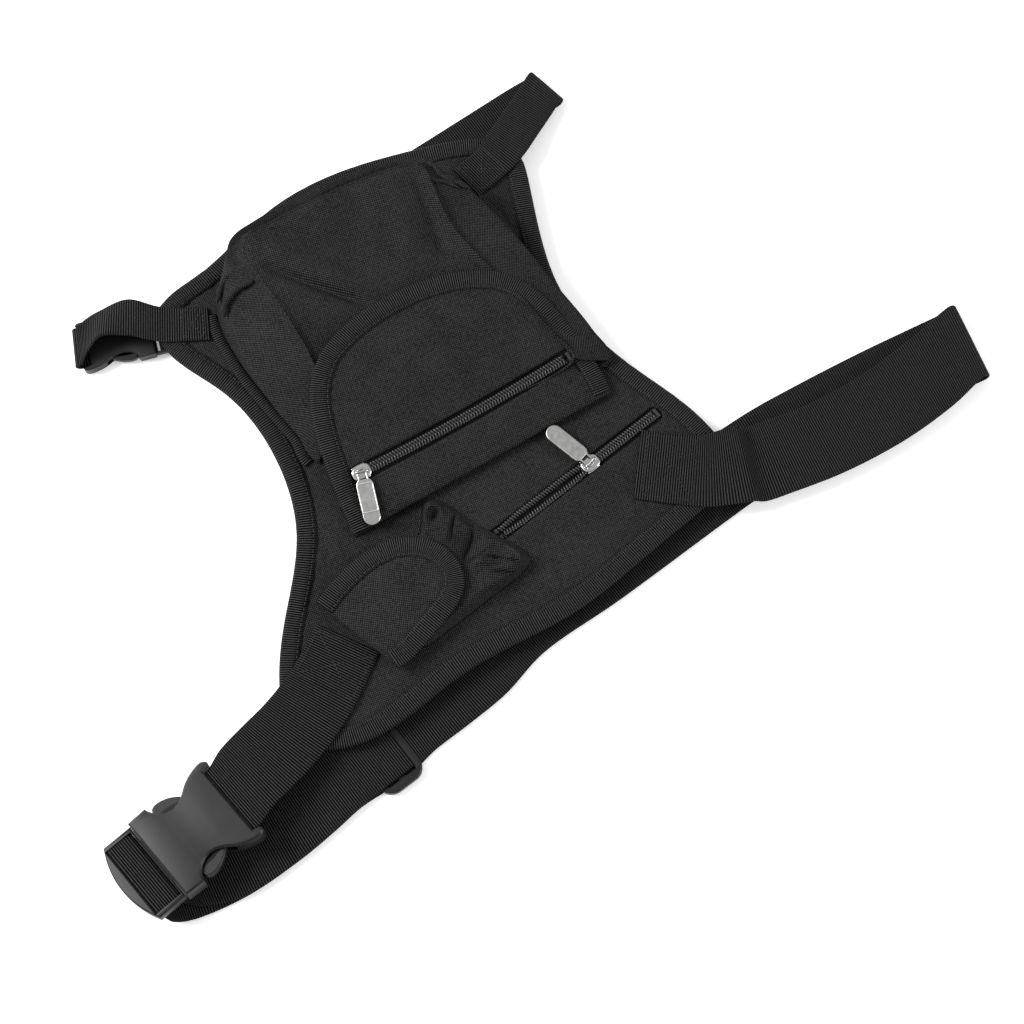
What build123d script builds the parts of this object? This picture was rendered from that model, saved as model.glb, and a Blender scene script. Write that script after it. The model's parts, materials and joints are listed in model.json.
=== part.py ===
from build123d import *
import os
from math import cos, radians, sin, tan

# A harness pack: a padded hourglass panel worn on the body by one wide belt and one narrow strap.
# The panel carries a big flap-covered pocket, a small flap-covered pouch and two zips.
# Millimetres. +X runs along the belts, +Y from the belt end to the narrow-strap end, +Z up.
# The origin is on the ground, under the middle of the panel, which lies on its back.

# ---------------------------------------------------------------- driving dimensions
WIDE = 50.0              # webbing width of the belt
NARROW = 27.0            # webbing width of the strap
WEBBING = 1.6            # webbing thickness
GROUND_LAYER = 1.2       # height of the middle of webbing that lies on the ground
SECOND_LAYER = 3.9       # height of the middle of webbing that lies on other webbing

BACK_PAD_TOP = 6.3       # the back pad fills the space between the two straps
LINING = (6.5, 7.3)      # lowest and highest level of each panel layer
FOAM = (7.5, 10.5)
FACE = (10.7, 11.5)
PANEL_BINDING = (5.9, 12.1)
BINDING_WIDTH = 12.0     # how far the folded tape reaches in from an edge
BINDING_TAPE = 0.5       # thickness of that tape
HINGE_GAP = 0.2          # from a flap's hinge line to its cloth
SEWN_ON = 12.5           # lowest level of everything sewn on the panel's face
PATCH_MIDDLE = SEWN_ON + WEBBING / 2

FABRIC = 0.8             # pocket and flap cloth
FLAP_ORIGIN = (17, -42, 15)     # middle of the main flap's hinge edge
FLAP_HEADING = 3.9              # direction of that edge in plan, degrees
FLAP_TILT = 9.8                 # rise of the flap away from its hinge, degrees
POUCH_ORIGIN = (-102.5, -107.5, 17)
POUCH_HEADING = -66.1
POUCH_TILT = 6.0

ZIP_TAPE = 0.6           # thickness of the zip's tape
ZIP_TAPE_WIDTH = 12.6    # width of each tape half
ZIP_GAP = 0.8            # between the two coil rows, where the slider's post runs
COIL_WIDTH = 2.8
COIL_HEIGHT = 1.6
ZIP_SLOT = 12.0          # the opening in the cloth over a zip
FLAP_ZIP_START = (-70, 31)      # on the flap, from its hinge edge's middle
FLAP_ZIP_LENGTH = 146.0
PANEL_ZIP_START = (8, -87)
PANEL_ZIP_HEADING = 12.0
PANEL_ZIP_LENGTH = 121.0
PANEL_SLIDER_AT = 69.5          # from that zip's start
PANEL_TAPE_LEVEL = 10.0
FLAP_TAPE_LEVEL = 1.9
PULL_LENGTH = 34.0
PULL_WIDTH = 11.0
PULL_AXIS = 5.6                 # height of the pull's hinge above the tape's underside
FLAP_PULL_SWING = -17.0         # where each pull points, from -y of its zip
PANEL_PULL_SWING = 192.0
FLAP_PULL_DROOP = 3.0
PANEL_PULL_DROOP = 4.5
POCKET_DROP = 2.6               # from the flap's underside to the pocket's front
POUCH_DROP = 2.4
POCKET_HEIGHT = 42.5            # level of the pocket's front at its far end
POUCH_HEIGHT = 20.0

BELT_BUCKLE_AT = (-267, -178.5, 15.2)   # middle of the socket's mouth
BELT_BUCKLE_HEADING = 194.0
BELT_BUCKLE_ROLL = 10.0
WIDE_BUCKLE = (1.0, 1.0, 1.0)           # sizes along, across and through the buckle
STRAP_BUCKLE_AT = (-131, 135.7, 4.2)
STRAP_BUCKLE_HEADING = -12.5
NARROW_BUCKLE = (0.79, 0.55, 0.66)      # the narrow buckle is the wide one at these scales
TRIGLIDE_AT = (-120.5, -170.4, 0)
TRIGLIDE_HEADING = 191.0

EDGE_SAMPLES = 110       # straight sides that stand for a closed smooth edge
FLAP_SAMPLES = 48        # and for a flap's curved edge

PANEL_EDGE = [
    (-129, 134), (-127, 115), (-109, 79), (-97, 20), (-107, -31), (-139, -80), (-162, -125),
    (-164, -148), (-148, -162), (-57, -157), (28, -152), (82, -140), (136, -127), (157, -116),
    (157, -96), (151, -72), (128, -21), (114, 42), (119, 77), (131, 120), (133, 142), (120, 157),
    (80, 171), (24, 180), (-32, 175), (-87, 156), (-117, 148),
]

parts = {}


# ---------------------------------------------------------------- shapes used by many pieces
def polygon(*points):
    """A flat face inside straight sides."""
    return make_face(Polyline(*points, close=True))


def sampled(curve, count):
    """Evenly spaced points along a curve, without its end."""
    return [curve @ (i / count) for i in range(count)]


def smooth(*points):
    """A flat face inside a closed smooth curve, as many short straight sides."""
    return polygon(*sampled(Spline(*points, periodic=True), EDGE_SAMPLES))


def inset(face, distance):
    """The same outline, moved in from its edge."""
    return offset(face, amount=-distance, kind=Kind.INTERSECTION) if distance else face


def layer(face, levels):
    """A sheet standing on an outline, between two levels."""
    low, high = levels
    return Pos(0, 0, low) * extrude(face, amount=high - low, dir=(0, 0, 1))


def block(x, y, z):
    """A box between two values along each axis."""
    size = (x[1] - x[0], y[1] - y[0], z[1] - z[0])
    middle = (sum(x) / 2, sum(y) / 2, sum(z) / 2)
    return Pos(*middle) * Box(*size)


def edge_binding(outline_at, levels):
    """Tape folded over an edge: a C section that is open towards the middle."""
    low, high = levels
    whole = layer(outline_at(0), levels)
    middle = layer(outline_at(BINDING_WIDTH), (low - 1, high + 1))
    gap = layer(outline_at(0.8), (low + BINDING_TAPE, high - BINDING_TAPE))
    return whole - middle - gap


def hinge_plane(origin, heading, tilt):
    """A flap's own plane: x along its hinge, y away from the hinge, z out of its face."""
    along = Vector(cos(radians(heading)), sin(radians(heading)), 0)
    away = Vector(-sin(radians(heading)) * cos(radians(tilt)), cos(radians(heading)) * cos(radians(tilt)),
                  sin(radians(tilt)))
    return Plane(origin=origin, x_dir=along, z_dir=along.cross(away))


def path_sections(stations):
    """Cross-section planes along stations of (x, y, z, direction of the width in plan, roll, width)."""
    points = [Vector(*station[:3]) for station in stations]
    sections = []
    for i, (_, _, _, across, roll, width) in enumerate(stations):
        travel = points[min(i + 1, len(points) - 1)] - points[max(i - 1, 0)]
        flat = cos(radians(roll))
        side = Vector(cos(radians(across)) * flat, sin(radians(across)) * flat, sin(radians(roll)))
        forward = travel - side * travel.dot(side)
        sections.append(Plane(origin=points[i], x_dir=side, z_dir=forward) * Rectangle(width, WEBBING))
    return sections


def strap(stations):
    """Webbing that follows its stations."""
    return loft(path_sections(stations), ruled=True)


def fold(x, y, levels, heading):
    """Points around a half turn that takes webbing down from one level to another."""
    low, high = levels
    radius = (high - low) / 2
    turn = []
    for angle in (90, 45, 0, -45, -90):
        reach = radius * cos(radians(angle))
        height = low + radius + radius * sin(radians(angle))
        turn.append((x + reach * cos(radians(heading)), y + reach * sin(radians(heading)), height))
    return turn


# ---------------------------------------------------------------- zips
def zip_tapes(length):
    """Two tape halves along x, their underside at z = 0."""
    half = block((-6, length + 6), (ZIP_GAP / 2, ZIP_GAP / 2 + ZIP_TAPE_WIDTH), (0, ZIP_TAPE))
    return half + mirror(half, about=Plane.XZ)


def zip_coils(length):
    """The two rows of coil that lie on the tape halves."""
    bottom = ZIP_TAPE + 0.1
    row = block((0, length), (ZIP_GAP / 2, ZIP_GAP / 2 + COIL_WIDTH), (bottom, bottom + COIL_HEIGHT))
    return row + mirror(row, about=Plane.XZ)


def zip_stops(length):
    """A small crimped stop on each row at the start, and one across both rows at the end."""
    levels = (ZIP_TAPE + 0.1, ZIP_TAPE + 1.7)
    start = block((-3.4, -1.0), (ZIP_GAP / 2, 3.4), levels)
    end = block((length + 1.0, length + 3.4), (-3.4, 3.4), levels)
    return start + mirror(start, about=Plane.XZ) + end


def zip_slider(swing):
    """Top and bottom plates joined by a thin post, with a bail bar that is turned by swing degrees."""
    top = (2.5, 3.5)
    plates = block((-5.5, 5.5), (-4.8, 4.8), (-0.9, -0.2)) + block((-6, 6), (-4.8, 4.8), top)
    post = block((1.5, 4.5), (-0.3, 0.3), (-0.5, top[0] + 0.2))
    bar = Pos(0, 0, PULL_AXIS) * Rot(0, 90, 0) * Cylinder(0.6, 8)
    leg = block((2.8, 4), (-0.8, 0.8), (top[1] - 0.2, PULL_AXIS))
    legs = leg + mirror(leg, about=Plane.YZ)
    return plates + post + Rot(0, 0, swing) * (bar + legs)


def zip_pull(swing, droop):
    """A flat tab whose end is rolled round the bail bar. It lies towards -y and droops a little."""
    half = PULL_WIDTH / 2
    tab = block((-half, half), (-PULL_LENGTH, -4), (-0.6, 0.6))
    tab = fillet(tab.edges().filter_by(Axis.Z).group_by(Axis.Y)[0], half - 0.1)
    neck = block((-2.2, 2.2), (-4.5, -1.1), (-0.6, 0.6))
    knuckle = Rot(0, 90, 0) * (Cylinder(1.45, 4.8) - Cylinder(0.75, 6))
    return Pos(0, 0, PULL_AXIS) * Rot(0, 0, swing) * Rot(droop, 0, 0) * (tab + neck + knuckle)


# ---------------------------------------------------------------- side-release buckles
# Local frame: x along the pull-apart direction with x = 0 at the socket's mouth, z out of the top face.
# Sizes are for the wide webbing, and each axis is multiplied by the buckle's size along it.
def mirrored_outline(*runs):
    """A face from runs of points on the +y side and their mirror images."""
    edges = []
    for run in runs:
        for side in (1, -1):
            points = [(x, side * y) for x, y in run]
            edges.append(Line(*points) if len(points) == 2 else Spline(*points))
    return make_face(edges)


def buckle_socket(size):
    """The female half: a flat shell with open sides, a strap bar and flared ears."""
    outline = mirrored_outline(
        [(0, 0), (0, 29.5)],
        [(0, 29.5), (-13, 30)],
        [(-13, 30), (-15.5, 24.5), (-20, 20.3), (-27, 18.8), (-34, 21.2), (-40, 25.6), (-46, 28.6),
         (-52, 30.3), (-56.5, 30.2), (-58.8, 28.2), (-58.4, 25.8)],
        [(-58.4, 25.8), (-53.5, 24.6)],
        [(-53.5, 24.6), (-53.5, 0)],
    )
    shell = extrude(outline, amount=6, both=True)
    rims = shell.edges().group_by(Axis.Z)
    shell = chamfer(rims[-1] + rims[0], 1.2)
    cavity = block((-42, 1), (-25.5, 25.5), (-3.7, 3.7))
    strap_recess = block((-62, -46), (-25.4, 25.4), (-7, 3.4))
    bar = block((-53.3, -50.3), (-26.5, 26.5), (-3.2, 0.4))
    return scale(shell - cavity - strap_recess + bar, by=size)


def buckle_plug(size):
    """The male half without its prongs: a frame with an adjuster bar, and a centre guide."""
    levels = (-3.2, 2.4)
    frame = make_face(
        [Line((0.4, -28.5), (0.4, 28.5)), Line((0.4, 28.5), (20, 28.5)),
         ThreePointArc((20, 28.5), (27, 0), (20, -28.5)), Line((20, -28.5), (0.4, -28.5))]
    )
    body = layer(frame, levels)
    body = chamfer(body.edges().group_by(Axis.Z)[-1], 0.8)
    inner_slot = block((1.8, 7.2), (-25.6, 25.6), (-5, 5))
    outer_slot = block((14.6, 20.8), (-25.6, 25.6), (-5, 5))
    over_bar = block((7.1, 14.7), (-25.6, 25.6), (-1.2, 5))
    guide = block((-38, 1), (-4, 4), (-2.4, 2.2))
    prong_root = block((-5, 1), (-17.5, 17.5), (-2.8, 2.2))
    return scale(body - inner_slot - outer_slot - over_bar + guide + prong_root, by=size)


def buckle_prong(size, side):
    """One springy arm with the latching bulge that shows in the socket's side."""
    arm = make_face([
        Line((-0.8, 18), (-0.8, 22.5)), Line((-0.8, 22.5), (-15.2, 24.9)), Line((-15.2, 24.9), (-15.8, 28.3)),
        Spline((-15.8, 28.3), (-20, 29.0), (-27, 27.4), (-33, 23.6), (-37, 20)),
        Line((-37, 20), (-35, 18)), Spline((-35, 18), (-26, 20.5), (-16, 20.2), (-0.8, 18)),
    ])
    prong = extrude(arm, amount=3.0, both=True)
    return scale(prong if side > 0 else mirror(prong, about=Plane.XZ), by=size)


def buckle_plane(at, heading, roll):
    """Where a buckle's mouth is, with its +y side raised by roll degrees."""
    along = Vector(cos(radians(heading)), sin(radians(heading)), 0)
    level_side = Vector(-sin(radians(heading)), cos(radians(heading)), 0)
    side = level_side * cos(radians(roll)) + Vector(0, 0, sin(radians(roll)))
    return Plane(origin=at, x_dir=along, z_dir=along.cross(side))


# ---------------------------------------------------------------- pockets
def bag(base, top, low, high, roof):
    """A cloth front and the wall round it, open on the side nearest the hinge edge.

    base and top are the same corners at two heights. roof is the front's profile, as (y, z) points.
    """
    def body(margin):
        faces = [Pos(0, 0, z) * inset(polygon(*corners), margin) for corners, z in ((base, low), (top, high))]
        return loft(faces, ruled=True)

    def below(drop):
        line = [(y, z - drop) for y, z in roof]
        ends = [(roof[-1][0], -5), (roof[0][0], -5)]
        return extrude(Plane.YZ * polygon(*line, *ends), amount=160, both=True)

    shell = body(0)
    hollow = body(1.0)
    mouth = Pos(0, -3, 0) * hollow
    front = shell & (below(0) - below(FABRIC))
    wall = (shell - hollow - mouth) & below(FABRIC + 0.15)
    return front, wall


def flap_outline(curve, extension):
    """A flap's face as a function of the inset: its hinge edge is straight and isn't inset."""
    start, end = curve[0], curve[-1]
    round_side = sampled(Spline(*curve), FLAP_SAMPLES)
    whole = polygon(*round_side, end, (end[0], -extension), (start[0], -extension))
    keep = Pos(0, 100 + HINGE_GAP) * Rectangle(300, 200)
    return lambda distance: inset(whole, distance) & keep


# ---------------------------------------------------------------- panel
panel = smooth(*PANEL_EDGE)
panel_zip_plane = Plane(
    origin=(*PANEL_ZIP_START, PANEL_TAPE_LEVEL),
    x_dir=(cos(radians(PANEL_ZIP_HEADING)), sin(radians(PANEL_ZIP_HEADING)), 0),
    z_dir=(0, 0, 1),
)
zip_slot = panel_zip_plane * block((-4, PANEL_ZIP_LENGTH + 4), (-ZIP_SLOT / 2, ZIP_SLOT / 2), (-8, 5))
zip_room = panel_zip_plane * block((-8, PANEL_ZIP_LENGTH + 8), (-14, 14), (-1.2, 5))

parts["panel_lining"] = layer(inset(panel, 1.0), LINING)
parts["panel_foam"] = layer(inset(panel, 1.4), FOAM) - zip_room
parts["panel_face"] = layer(inset(panel, 1.0), FACE) - zip_slot
parts["panel_binding"] = edge_binding(lambda distance: inset(panel, distance), PANEL_BINDING)

pad_edge = inset(panel, 16) & (Pos(5, 10) * Rectangle(260, 174))
parts["back_pad"] = layer(pad_edge, (0, BACK_PAD_TOP))

parts["panel_zip_tapes"] = panel_zip_plane * zip_tapes(PANEL_ZIP_LENGTH)
parts["panel_zip_coils"] = panel_zip_plane * zip_coils(PANEL_ZIP_LENGTH)
parts["panel_zip_stops"] = panel_zip_plane * zip_stops(PANEL_ZIP_LENGTH)
panel_slider_plane = panel_zip_plane * Pos(PANEL_SLIDER_AT, 0, 0)
parts["panel_zip_slider"] = panel_slider_plane * zip_slider(PANEL_PULL_SWING)
parts["panel_zip_pull"] = panel_slider_plane * zip_pull(PANEL_PULL_SWING, PANEL_PULL_DROOP)

# ---------------------------------------------------------------- main pocket
# Corners run from the mouth's left end, round the far end, to the mouth's right end,
# measured from the middle of the flap's hinge edge.
pocket_base = [(-92, 44), (-95, 99), (-98, 144), (-92, 186), (-72, 197), (5, 202), (68, 190),
               (84, 175), (90, 136), (90, 81), (89, 28)]
pocket_top = [(-84, 44), (-73, 97), (-65, 142), (-64, 187), (-58, 205), (5, 208), (65, 192),
              (66, 178), (62, 138), (73, 82), (83, 28)]
flap_ground = Plane(origin=(FLAP_ORIGIN[0], FLAP_ORIGIN[1], 0),
                    x_dir=(cos(radians(FLAP_HEADING)), sin(radians(FLAP_HEADING)), 0), z_dir=(0, 0, 1))
slope = tan(radians(FLAP_TILT))
POCKET_MOUTH, POCKET_BEND, POCKET_FAR_END = 20, 128, 215     # distances from the flap's hinge edge
pocket_roof = [(y, FLAP_ORIGIN[2] + slope * y - POCKET_DROP) for y in (POCKET_MOUTH, POCKET_BEND)]
pocket_roof.append((POCKET_FAR_END, POCKET_HEIGHT))
front, wall = bag(pocket_base, pocket_top, SEWN_ON, 42, pocket_roof)
parts["pocket_front"] = flap_ground * front
parts["pocket_gusset"] = flap_ground * wall

tape_ring = inset(polygon(*pocket_base), -7) - inset(polygon(*pocket_base), -0.5)
tape_reach = (Pos(-100, 102) * Rectangle(100, 96)) + (Pos(100, 82) * Rectangle(100, 96))
parts["pocket_seam_tape"] = flap_ground * layer(tape_ring & tape_reach, (SEWN_ON, SEWN_ON + BINDING_TAPE))

# ---------------------------------------------------------------- main flap
flap_plane = hinge_plane(FLAP_ORIGIN, FLAP_HEADING, FLAP_TILT)
flap_curve = [(-94, 0), (-91, 18), (-83, 62), (-61, 104), (-32, 117), (9, 120), (48, 112), (77, 92),
              (89, 62), (94, 18), (94, 0)]
flap_at = flap_outline(flap_curve, 30)
flap_zip_at = Pos(*FLAP_ZIP_START, FLAP_TAPE_LEVEL)
flap_slot = flap_zip_at * block((-4, FLAP_ZIP_LENGTH + 4), (-ZIP_SLOT / 2, ZIP_SLOT / 2), (0, 5))
parts["flap_lining"] = flap_plane * layer(flap_at(1.0), (0, FABRIC))
parts["flap_face"] = flap_plane * (layer(flap_at(1.0), (2.9, 2.9 + FABRIC)) - flap_slot)
parts["flap_binding"] = flap_plane * edge_binding(flap_at, (-0.6, 4.4))
parts["flap_zip_tapes"] = flap_plane * flap_zip_at * zip_tapes(FLAP_ZIP_LENGTH)
parts["flap_zip_coils"] = flap_plane * flap_zip_at * zip_coils(FLAP_ZIP_LENGTH)
parts["flap_zip_stops"] = flap_plane * flap_zip_at * zip_stops(FLAP_ZIP_LENGTH)
parts["flap_zip_slider"] = flap_plane * flap_zip_at * zip_slider(FLAP_PULL_SWING)
parts["flap_zip_pull"] = flap_plane * flap_zip_at * zip_pull(FLAP_PULL_SWING, FLAP_PULL_DROOP)

# The hem that joins the flap to the panel lies under the flap, just inside its hinge edge.
parts["flap_hem"] = flap_ground * block((-92, 92), (5, 10), (SEWN_ON, FLAP_ORIGIN[2] - 0.3))

# Hook and loop tape that keeps the flap shut, one half under the flap and one on the pocket's front.
closure = [(-38, 76), (38, 76), (38, 98), (-38, 98)]
parts["flap_hook_tape"] = flap_plane * layer(polygon(*closure), (-1.0, -0.15))
parts["pocket_loop_tape"] = flap_plane * layer(polygon(*closure), (-2.35, -1.15))

# ---------------------------------------------------------------- small pouch
pouch_plane = hinge_plane(POUCH_ORIGIN, POUCH_HEADING, POUCH_TILT)
pouch_ground = Plane(origin=(POUCH_ORIGIN[0], POUCH_ORIGIN[1], 0),
                     x_dir=(cos(radians(POUCH_HEADING)), sin(radians(POUCH_HEADING)), 0), z_dir=(0, 0, 1))
pouch_base = [(-30, 10), (-26, 50), (-19, 98), (8, 104), (50, 104), (54, 96), (45, 50), (40, 10)]
pouch_top = [(-28, 10), (-24, 50), (-15, 94), (8, 100), (46, 100), (50, 93), (42, 50), (38, 10)]
pouch_slope = tan(radians(POUCH_TILT))
pouch_roof = [(y, POUCH_ORIGIN[2] + pouch_slope * y - POUCH_DROP) for y in (4, 80)] + [(106, POUCH_HEIGHT)]
front, wall = bag(pouch_base, pouch_top, SEWN_ON, 24, pouch_roof)
parts["pouch_front"] = pouch_ground * front
parts["pouch_gusset"] = pouch_ground * wall

pouch_curve = [(34, 0), (36, 18), (36.5, 40), (35, 57), (29, 68), (17, 74.5), (1, 74.5), (-15, 65.5),
               (-26, 50), (-32, 27), (-33, 0)]
pouch_flap_at = flap_outline(pouch_curve, 30)
parts["pouch_flap"] = pouch_plane * layer(pouch_flap_at(1.0), (0, 1.4))
parts["pouch_flap_binding"] = pouch_plane * edge_binding(pouch_flap_at, (-0.6, 2.0))
parts["pouch_hem"] = pouch_ground * block((-19, 20), (1, 5), (SEWN_ON, POUCH_ORIGIN[2] - 0.3))
pouch_closure = [(-4, 36), (18, 36), (18, 55), (-4, 55)]
parts["pouch_hook_tape"] = pouch_plane * layer(polygon(*pouch_closure), (-1.0, -0.15))
parts["pouch_loop_tape"] = pouch_plane * layer(polygon(*pouch_closure), (-2.2, -1.15))

# ---------------------------------------------------------------- belt
buckle = buckle_plane(BELT_BUCKLE_AT, BELT_BUCKLE_HEADING, BELT_BUCKLE_ROLL)
parts["belt_socket"] = buckle.location * buckle_socket(WIDE_BUCKLE)
parts["belt_plug"] = buckle.location * buckle_plug(WIDE_BUCKLE)
parts["belt_prong_near"] = buckle.location * buckle_prong(WIDE_BUCKLE, 1)
parts["belt_prong_far"] = buckle.location * buckle_prong(WIDE_BUCKLE, -1)


def in_buckle(plane, x, z, size=WIDE_BUCKLE):
    """A point on a buckle's middle line, in the row's frame."""
    return tuple(plane.from_local_coords(Vector(x * size[0], 0, z * size[2])))


near_side = BELT_BUCKLE_HEADING + 90
parts["belt_stub"] = strap([
    (-110, -107, PATCH_MIDDLE, 308, 0, 43),
    (-135, -127, PATCH_MIDDLE, 305, 0, 45),
    (-158, -140, PATCH_MIDDLE + 0.5, 299, 1, 47),
    (-180, -149, PATCH_MIDDLE + 1.0, 292, 4, 49),
    (-200, -157, 17, 286, 8, WIDE - 0.6),
    (*in_buckle(buckle, -56, 1.9), near_side, BELT_BUCKLE_ROLL, WIDE - 0.6),
    (*in_buckle(buckle, -47.5, 1.9), near_side, BELT_BUCKLE_ROLL, WIDE - 0.6),
])

belt_fold = [(*point, 85, 0, WIDE + 2) for point in fold(328, -107.5, (GROUND_LAYER, 9.6), -5)]
parts["belt"] = strap([
    (104, -88, PATCH_MIDDLE, 56, 0, 46),
    (133, -107, PATCH_MIDDLE, 58, 0, 47),
    (156, -117, PATCH_MIDDLE - 0.3, 70, 0, 49),
    (182, -121, 10.5, 84, 0, WIDE),
    (217, -124, 9.3, 89, 0, WIDE),
    (260, -122, 8.8, 91, 0, WIDE + 1),
    (300, -115, 9.2, 89, 0, WIDE + 2),
    *belt_fold,
    (266, -106, GROUND_LAYER, 88, 0, WIDE),
    (222, -107, GROUND_LAYER, 90, 0, WIDE),
    (185, -109, GROUND_LAYER, 93, 0, WIDE),
    (150, -114, GROUND_LAYER, 98, 0, WIDE),
    (49, -132, GROUND_LAYER, 100, 0, WIDE),
    (-10, -141, GROUND_LAYER, 104, 0, WIDE),
    (-44, -154, GROUND_LAYER, 107, 0, WIDE),
    (-70, -160, GROUND_LAYER, 102, 0, WIDE),
    (-95, -165, GROUND_LAYER, 100, 0, WIDE),
])

parts["belt_adjuster"] = strap([
    (-95.6, -165.2, GROUND_LAYER, 280, 0, WIDE),
    (-119, -170, GROUND_LAYER, 281, 0, WIDE),
    (-150, -176.3, GROUND_LAYER, 281, 0, WIDE),
    (-170, -182, GROUND_LAYER, 280, 0, WIDE),
    (-194, -188, GROUND_LAYER, 275, 0, WIDE),
    (-228, -193, GROUND_LAYER, 270, 0, WIDE),
    (-258, -192, GROUND_LAYER + 0.2, 264, 1, WIDE),
    (-275, -188, 2.6, 272, 4, WIDE),
    (*in_buckle(buckle, 18.2, -7.4), near_side, 8, WIDE),
    (*in_buckle(buckle, 18.6, -2.6), near_side, BELT_BUCKLE_ROLL, WIDE),
    (*in_buckle(buckle, 17.2, -0.5), near_side, BELT_BUCKLE_ROLL, WIDE),
    (*in_buckle(buckle, 14.4, 0.4), near_side, BELT_BUCKLE_ROLL, WIDE),
    (*in_buckle(buckle, 7.6, 0.4), near_side, BELT_BUCKLE_ROLL, WIDE),
    (*in_buckle(buckle, 5.4, -0.4), near_side, BELT_BUCKLE_ROLL, WIDE),
    (*in_buckle(buckle, 4.5, -2.6), near_side, BELT_BUCKLE_ROLL, WIDE),
    (*in_buckle(buckle, 4.6, -6.6), near_side, 7, WIDE),
    (*in_buckle(buckle, 3.6, -9.8), 283, 2, WIDE),
    (-254, -187.5, SECOND_LAYER, 270, 0, WIDE),
    (-228, -193, SECOND_LAYER, 270, 0, WIDE),
    (-194, -188, SECOND_LAYER, 275, 0, WIDE),
    (-170, -182, SECOND_LAYER, 280, 0, WIDE),
    (-150, -176.3, SECOND_LAYER, 281, 0, WIDE),
    (-119, -170, SECOND_LAYER, 281, 0, WIDE),
    (-111, -168.3, SECOND_LAYER, 281, 0, WIDE),
])


def triglide():
    """Two round ends beside the belt, joined by three thin bars between its two layers."""
    outline = fillet(block((-15, 15), (-32, 32), (0.4, 5.2)).edges().filter_by(Axis.Z), 9)
    ends = outline - block((-16, 16), (-26.6, 26.6), (0, 6))
    ends = chamfer(ends.edges().group_by(Axis.Z)[-1], 0.8)
    bars = [block(across, (-27.3, 27.3), (2.2, 2.9)) for across in ((-15, -10), (-2.5, 2.5), (10, 15))]
    return ends + [bar & outline for bar in bars]


parts["belt_triglide"] = Plane(
    origin=TRIGLIDE_AT,
    x_dir=(cos(radians(TRIGLIDE_HEADING)), sin(radians(TRIGLIDE_HEADING)), 0),
    z_dir=(0, 0, 1),
).location * triglide()

# ---------------------------------------------------------------- narrow strap
strap_buckle = buckle_plane(STRAP_BUCKLE_AT, STRAP_BUCKLE_HEADING, 0)
parts["strap_socket"] = strap_buckle.location * buckle_socket(NARROW_BUCKLE)
parts["strap_plug"] = strap_buckle.location * buckle_plug(NARROW_BUCKLE)
parts["strap_prong_near"] = strap_buckle.location * buckle_prong(NARROW_BUCKLE, -1)
parts["strap_prong_far"] = strap_buckle.location * buckle_prong(NARROW_BUCKLE, 1)

parts["strap_patch"] = strap([
    (-98, 121.2, PATCH_MIDDLE, 69, 0, 22.5),
    (-110, 127, PATCH_MIDDLE, 67, 0, 23),
    (-120.5, 131.8, PATCH_MIDDLE + 0.4, 66, 0, 23.5),
])
strap_fold = [(*point, 71.6, 0, NARROW - 1) for point in fold(-176.5, 144.8, (5.4, 11.4), 161.6)]
parts["strap_front"] = strap([
    (-121.6, 132.4, PATCH_MIDDLE + 0.5, 66, 0, 23.5),
    (-127, 135.5, 15.4, 66, 0, 24),
    (-141, 146, 18, 66, -6, 26),
    (-158, 150.5, 17, 68, -28, NARROW - 1),
    (-169, 148.5, 13.4, 70, -14, NARROW - 1),
    *strap_fold,
    (*in_buckle(strap_buckle, -52, 1.8, NARROW_BUCKLE), 77.5, 0, NARROW),
    (*in_buckle(strap_buckle, -47.6, 1.8, NARROW_BUCKLE), 77.5, 0, NARROW),
])

leg_fold = [(*point, 109, 0, NARROW + 2) for point in fold(172, 176, (GROUND_LAYER, 6.4), 19)]
parts["strap_back"] = strap([
    (95, 135, PATCH_MIDDLE, 105, 0, 25),
    (113, 140, PATCH_MIDDLE, 107, 0, 26),
    (129, 147.5, PATCH_MIDDLE - 0.2, 115, 0, NARROW + 1),
    (145, 158, 10.4, 120, 0, NARROW + 1),
    (160, 168, 7.4, 117, 0, NARROW + 1),
    *leg_fold,
    (150, 173.5, GROUND_LAYER, 99, 0, NARROW + 1),
    (80, 164, GROUND_LAYER, 98, 0, NARROW),
    (0, 153, GROUND_LAYER, 98, 0, NARROW),
    (-50, 143.5, GROUND_LAYER, 98, 0, NARROW),
    (-86, 134.5, GROUND_LAYER, 93, 0, NARROW),
    (*in_buckle(strap_buckle, 24, -4.6, NARROW_BUCKLE), 79, 0, NARROW),
    (*in_buckle(strap_buckle, 19.6, -4.6, NARROW_BUCKLE), 77.5, 0, NARROW),
    (*in_buckle(strap_buckle, 18.1, -3.2, NARROW_BUCKLE), 77.5, 0, NARROW),
    (*in_buckle(strap_buckle, 17.9, -1.2, NARROW_BUCKLE), 77.5, 0, NARROW),
    (*in_buckle(strap_buckle, 16.6, 0.6, NARROW_BUCKLE), 77.5, 0, NARROW),
    (*in_buckle(strap_buckle, 14, 1.0, NARROW_BUCKLE), 77.5, 0, NARROW),
    (*in_buckle(strap_buckle, 7.8, 1.0, NARROW_BUCKLE), 77.5, 0, NARROW),
    (*in_buckle(strap_buckle, 5.4, 0.2, NARROW_BUCKLE), 77.5, 0, NARROW),
    (*in_buckle(strap_buckle, 4.6, -1.6, NARROW_BUCKLE), 77.5, 0, NARROW),
])

# ---------------------------------------------------------------- one file per sub-part
os.makedirs("parts", exist_ok=True)
for node, shape in parts.items():
    export_step(shape, f"parts/{node}.step")
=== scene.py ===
import json
from math import atan2, cos, degrees, pi, radians, sin

import bmesh
import bpy
import numpy as np
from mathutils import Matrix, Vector, noise
from mathutils.geometry import delaunay_2d_cdt

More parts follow.
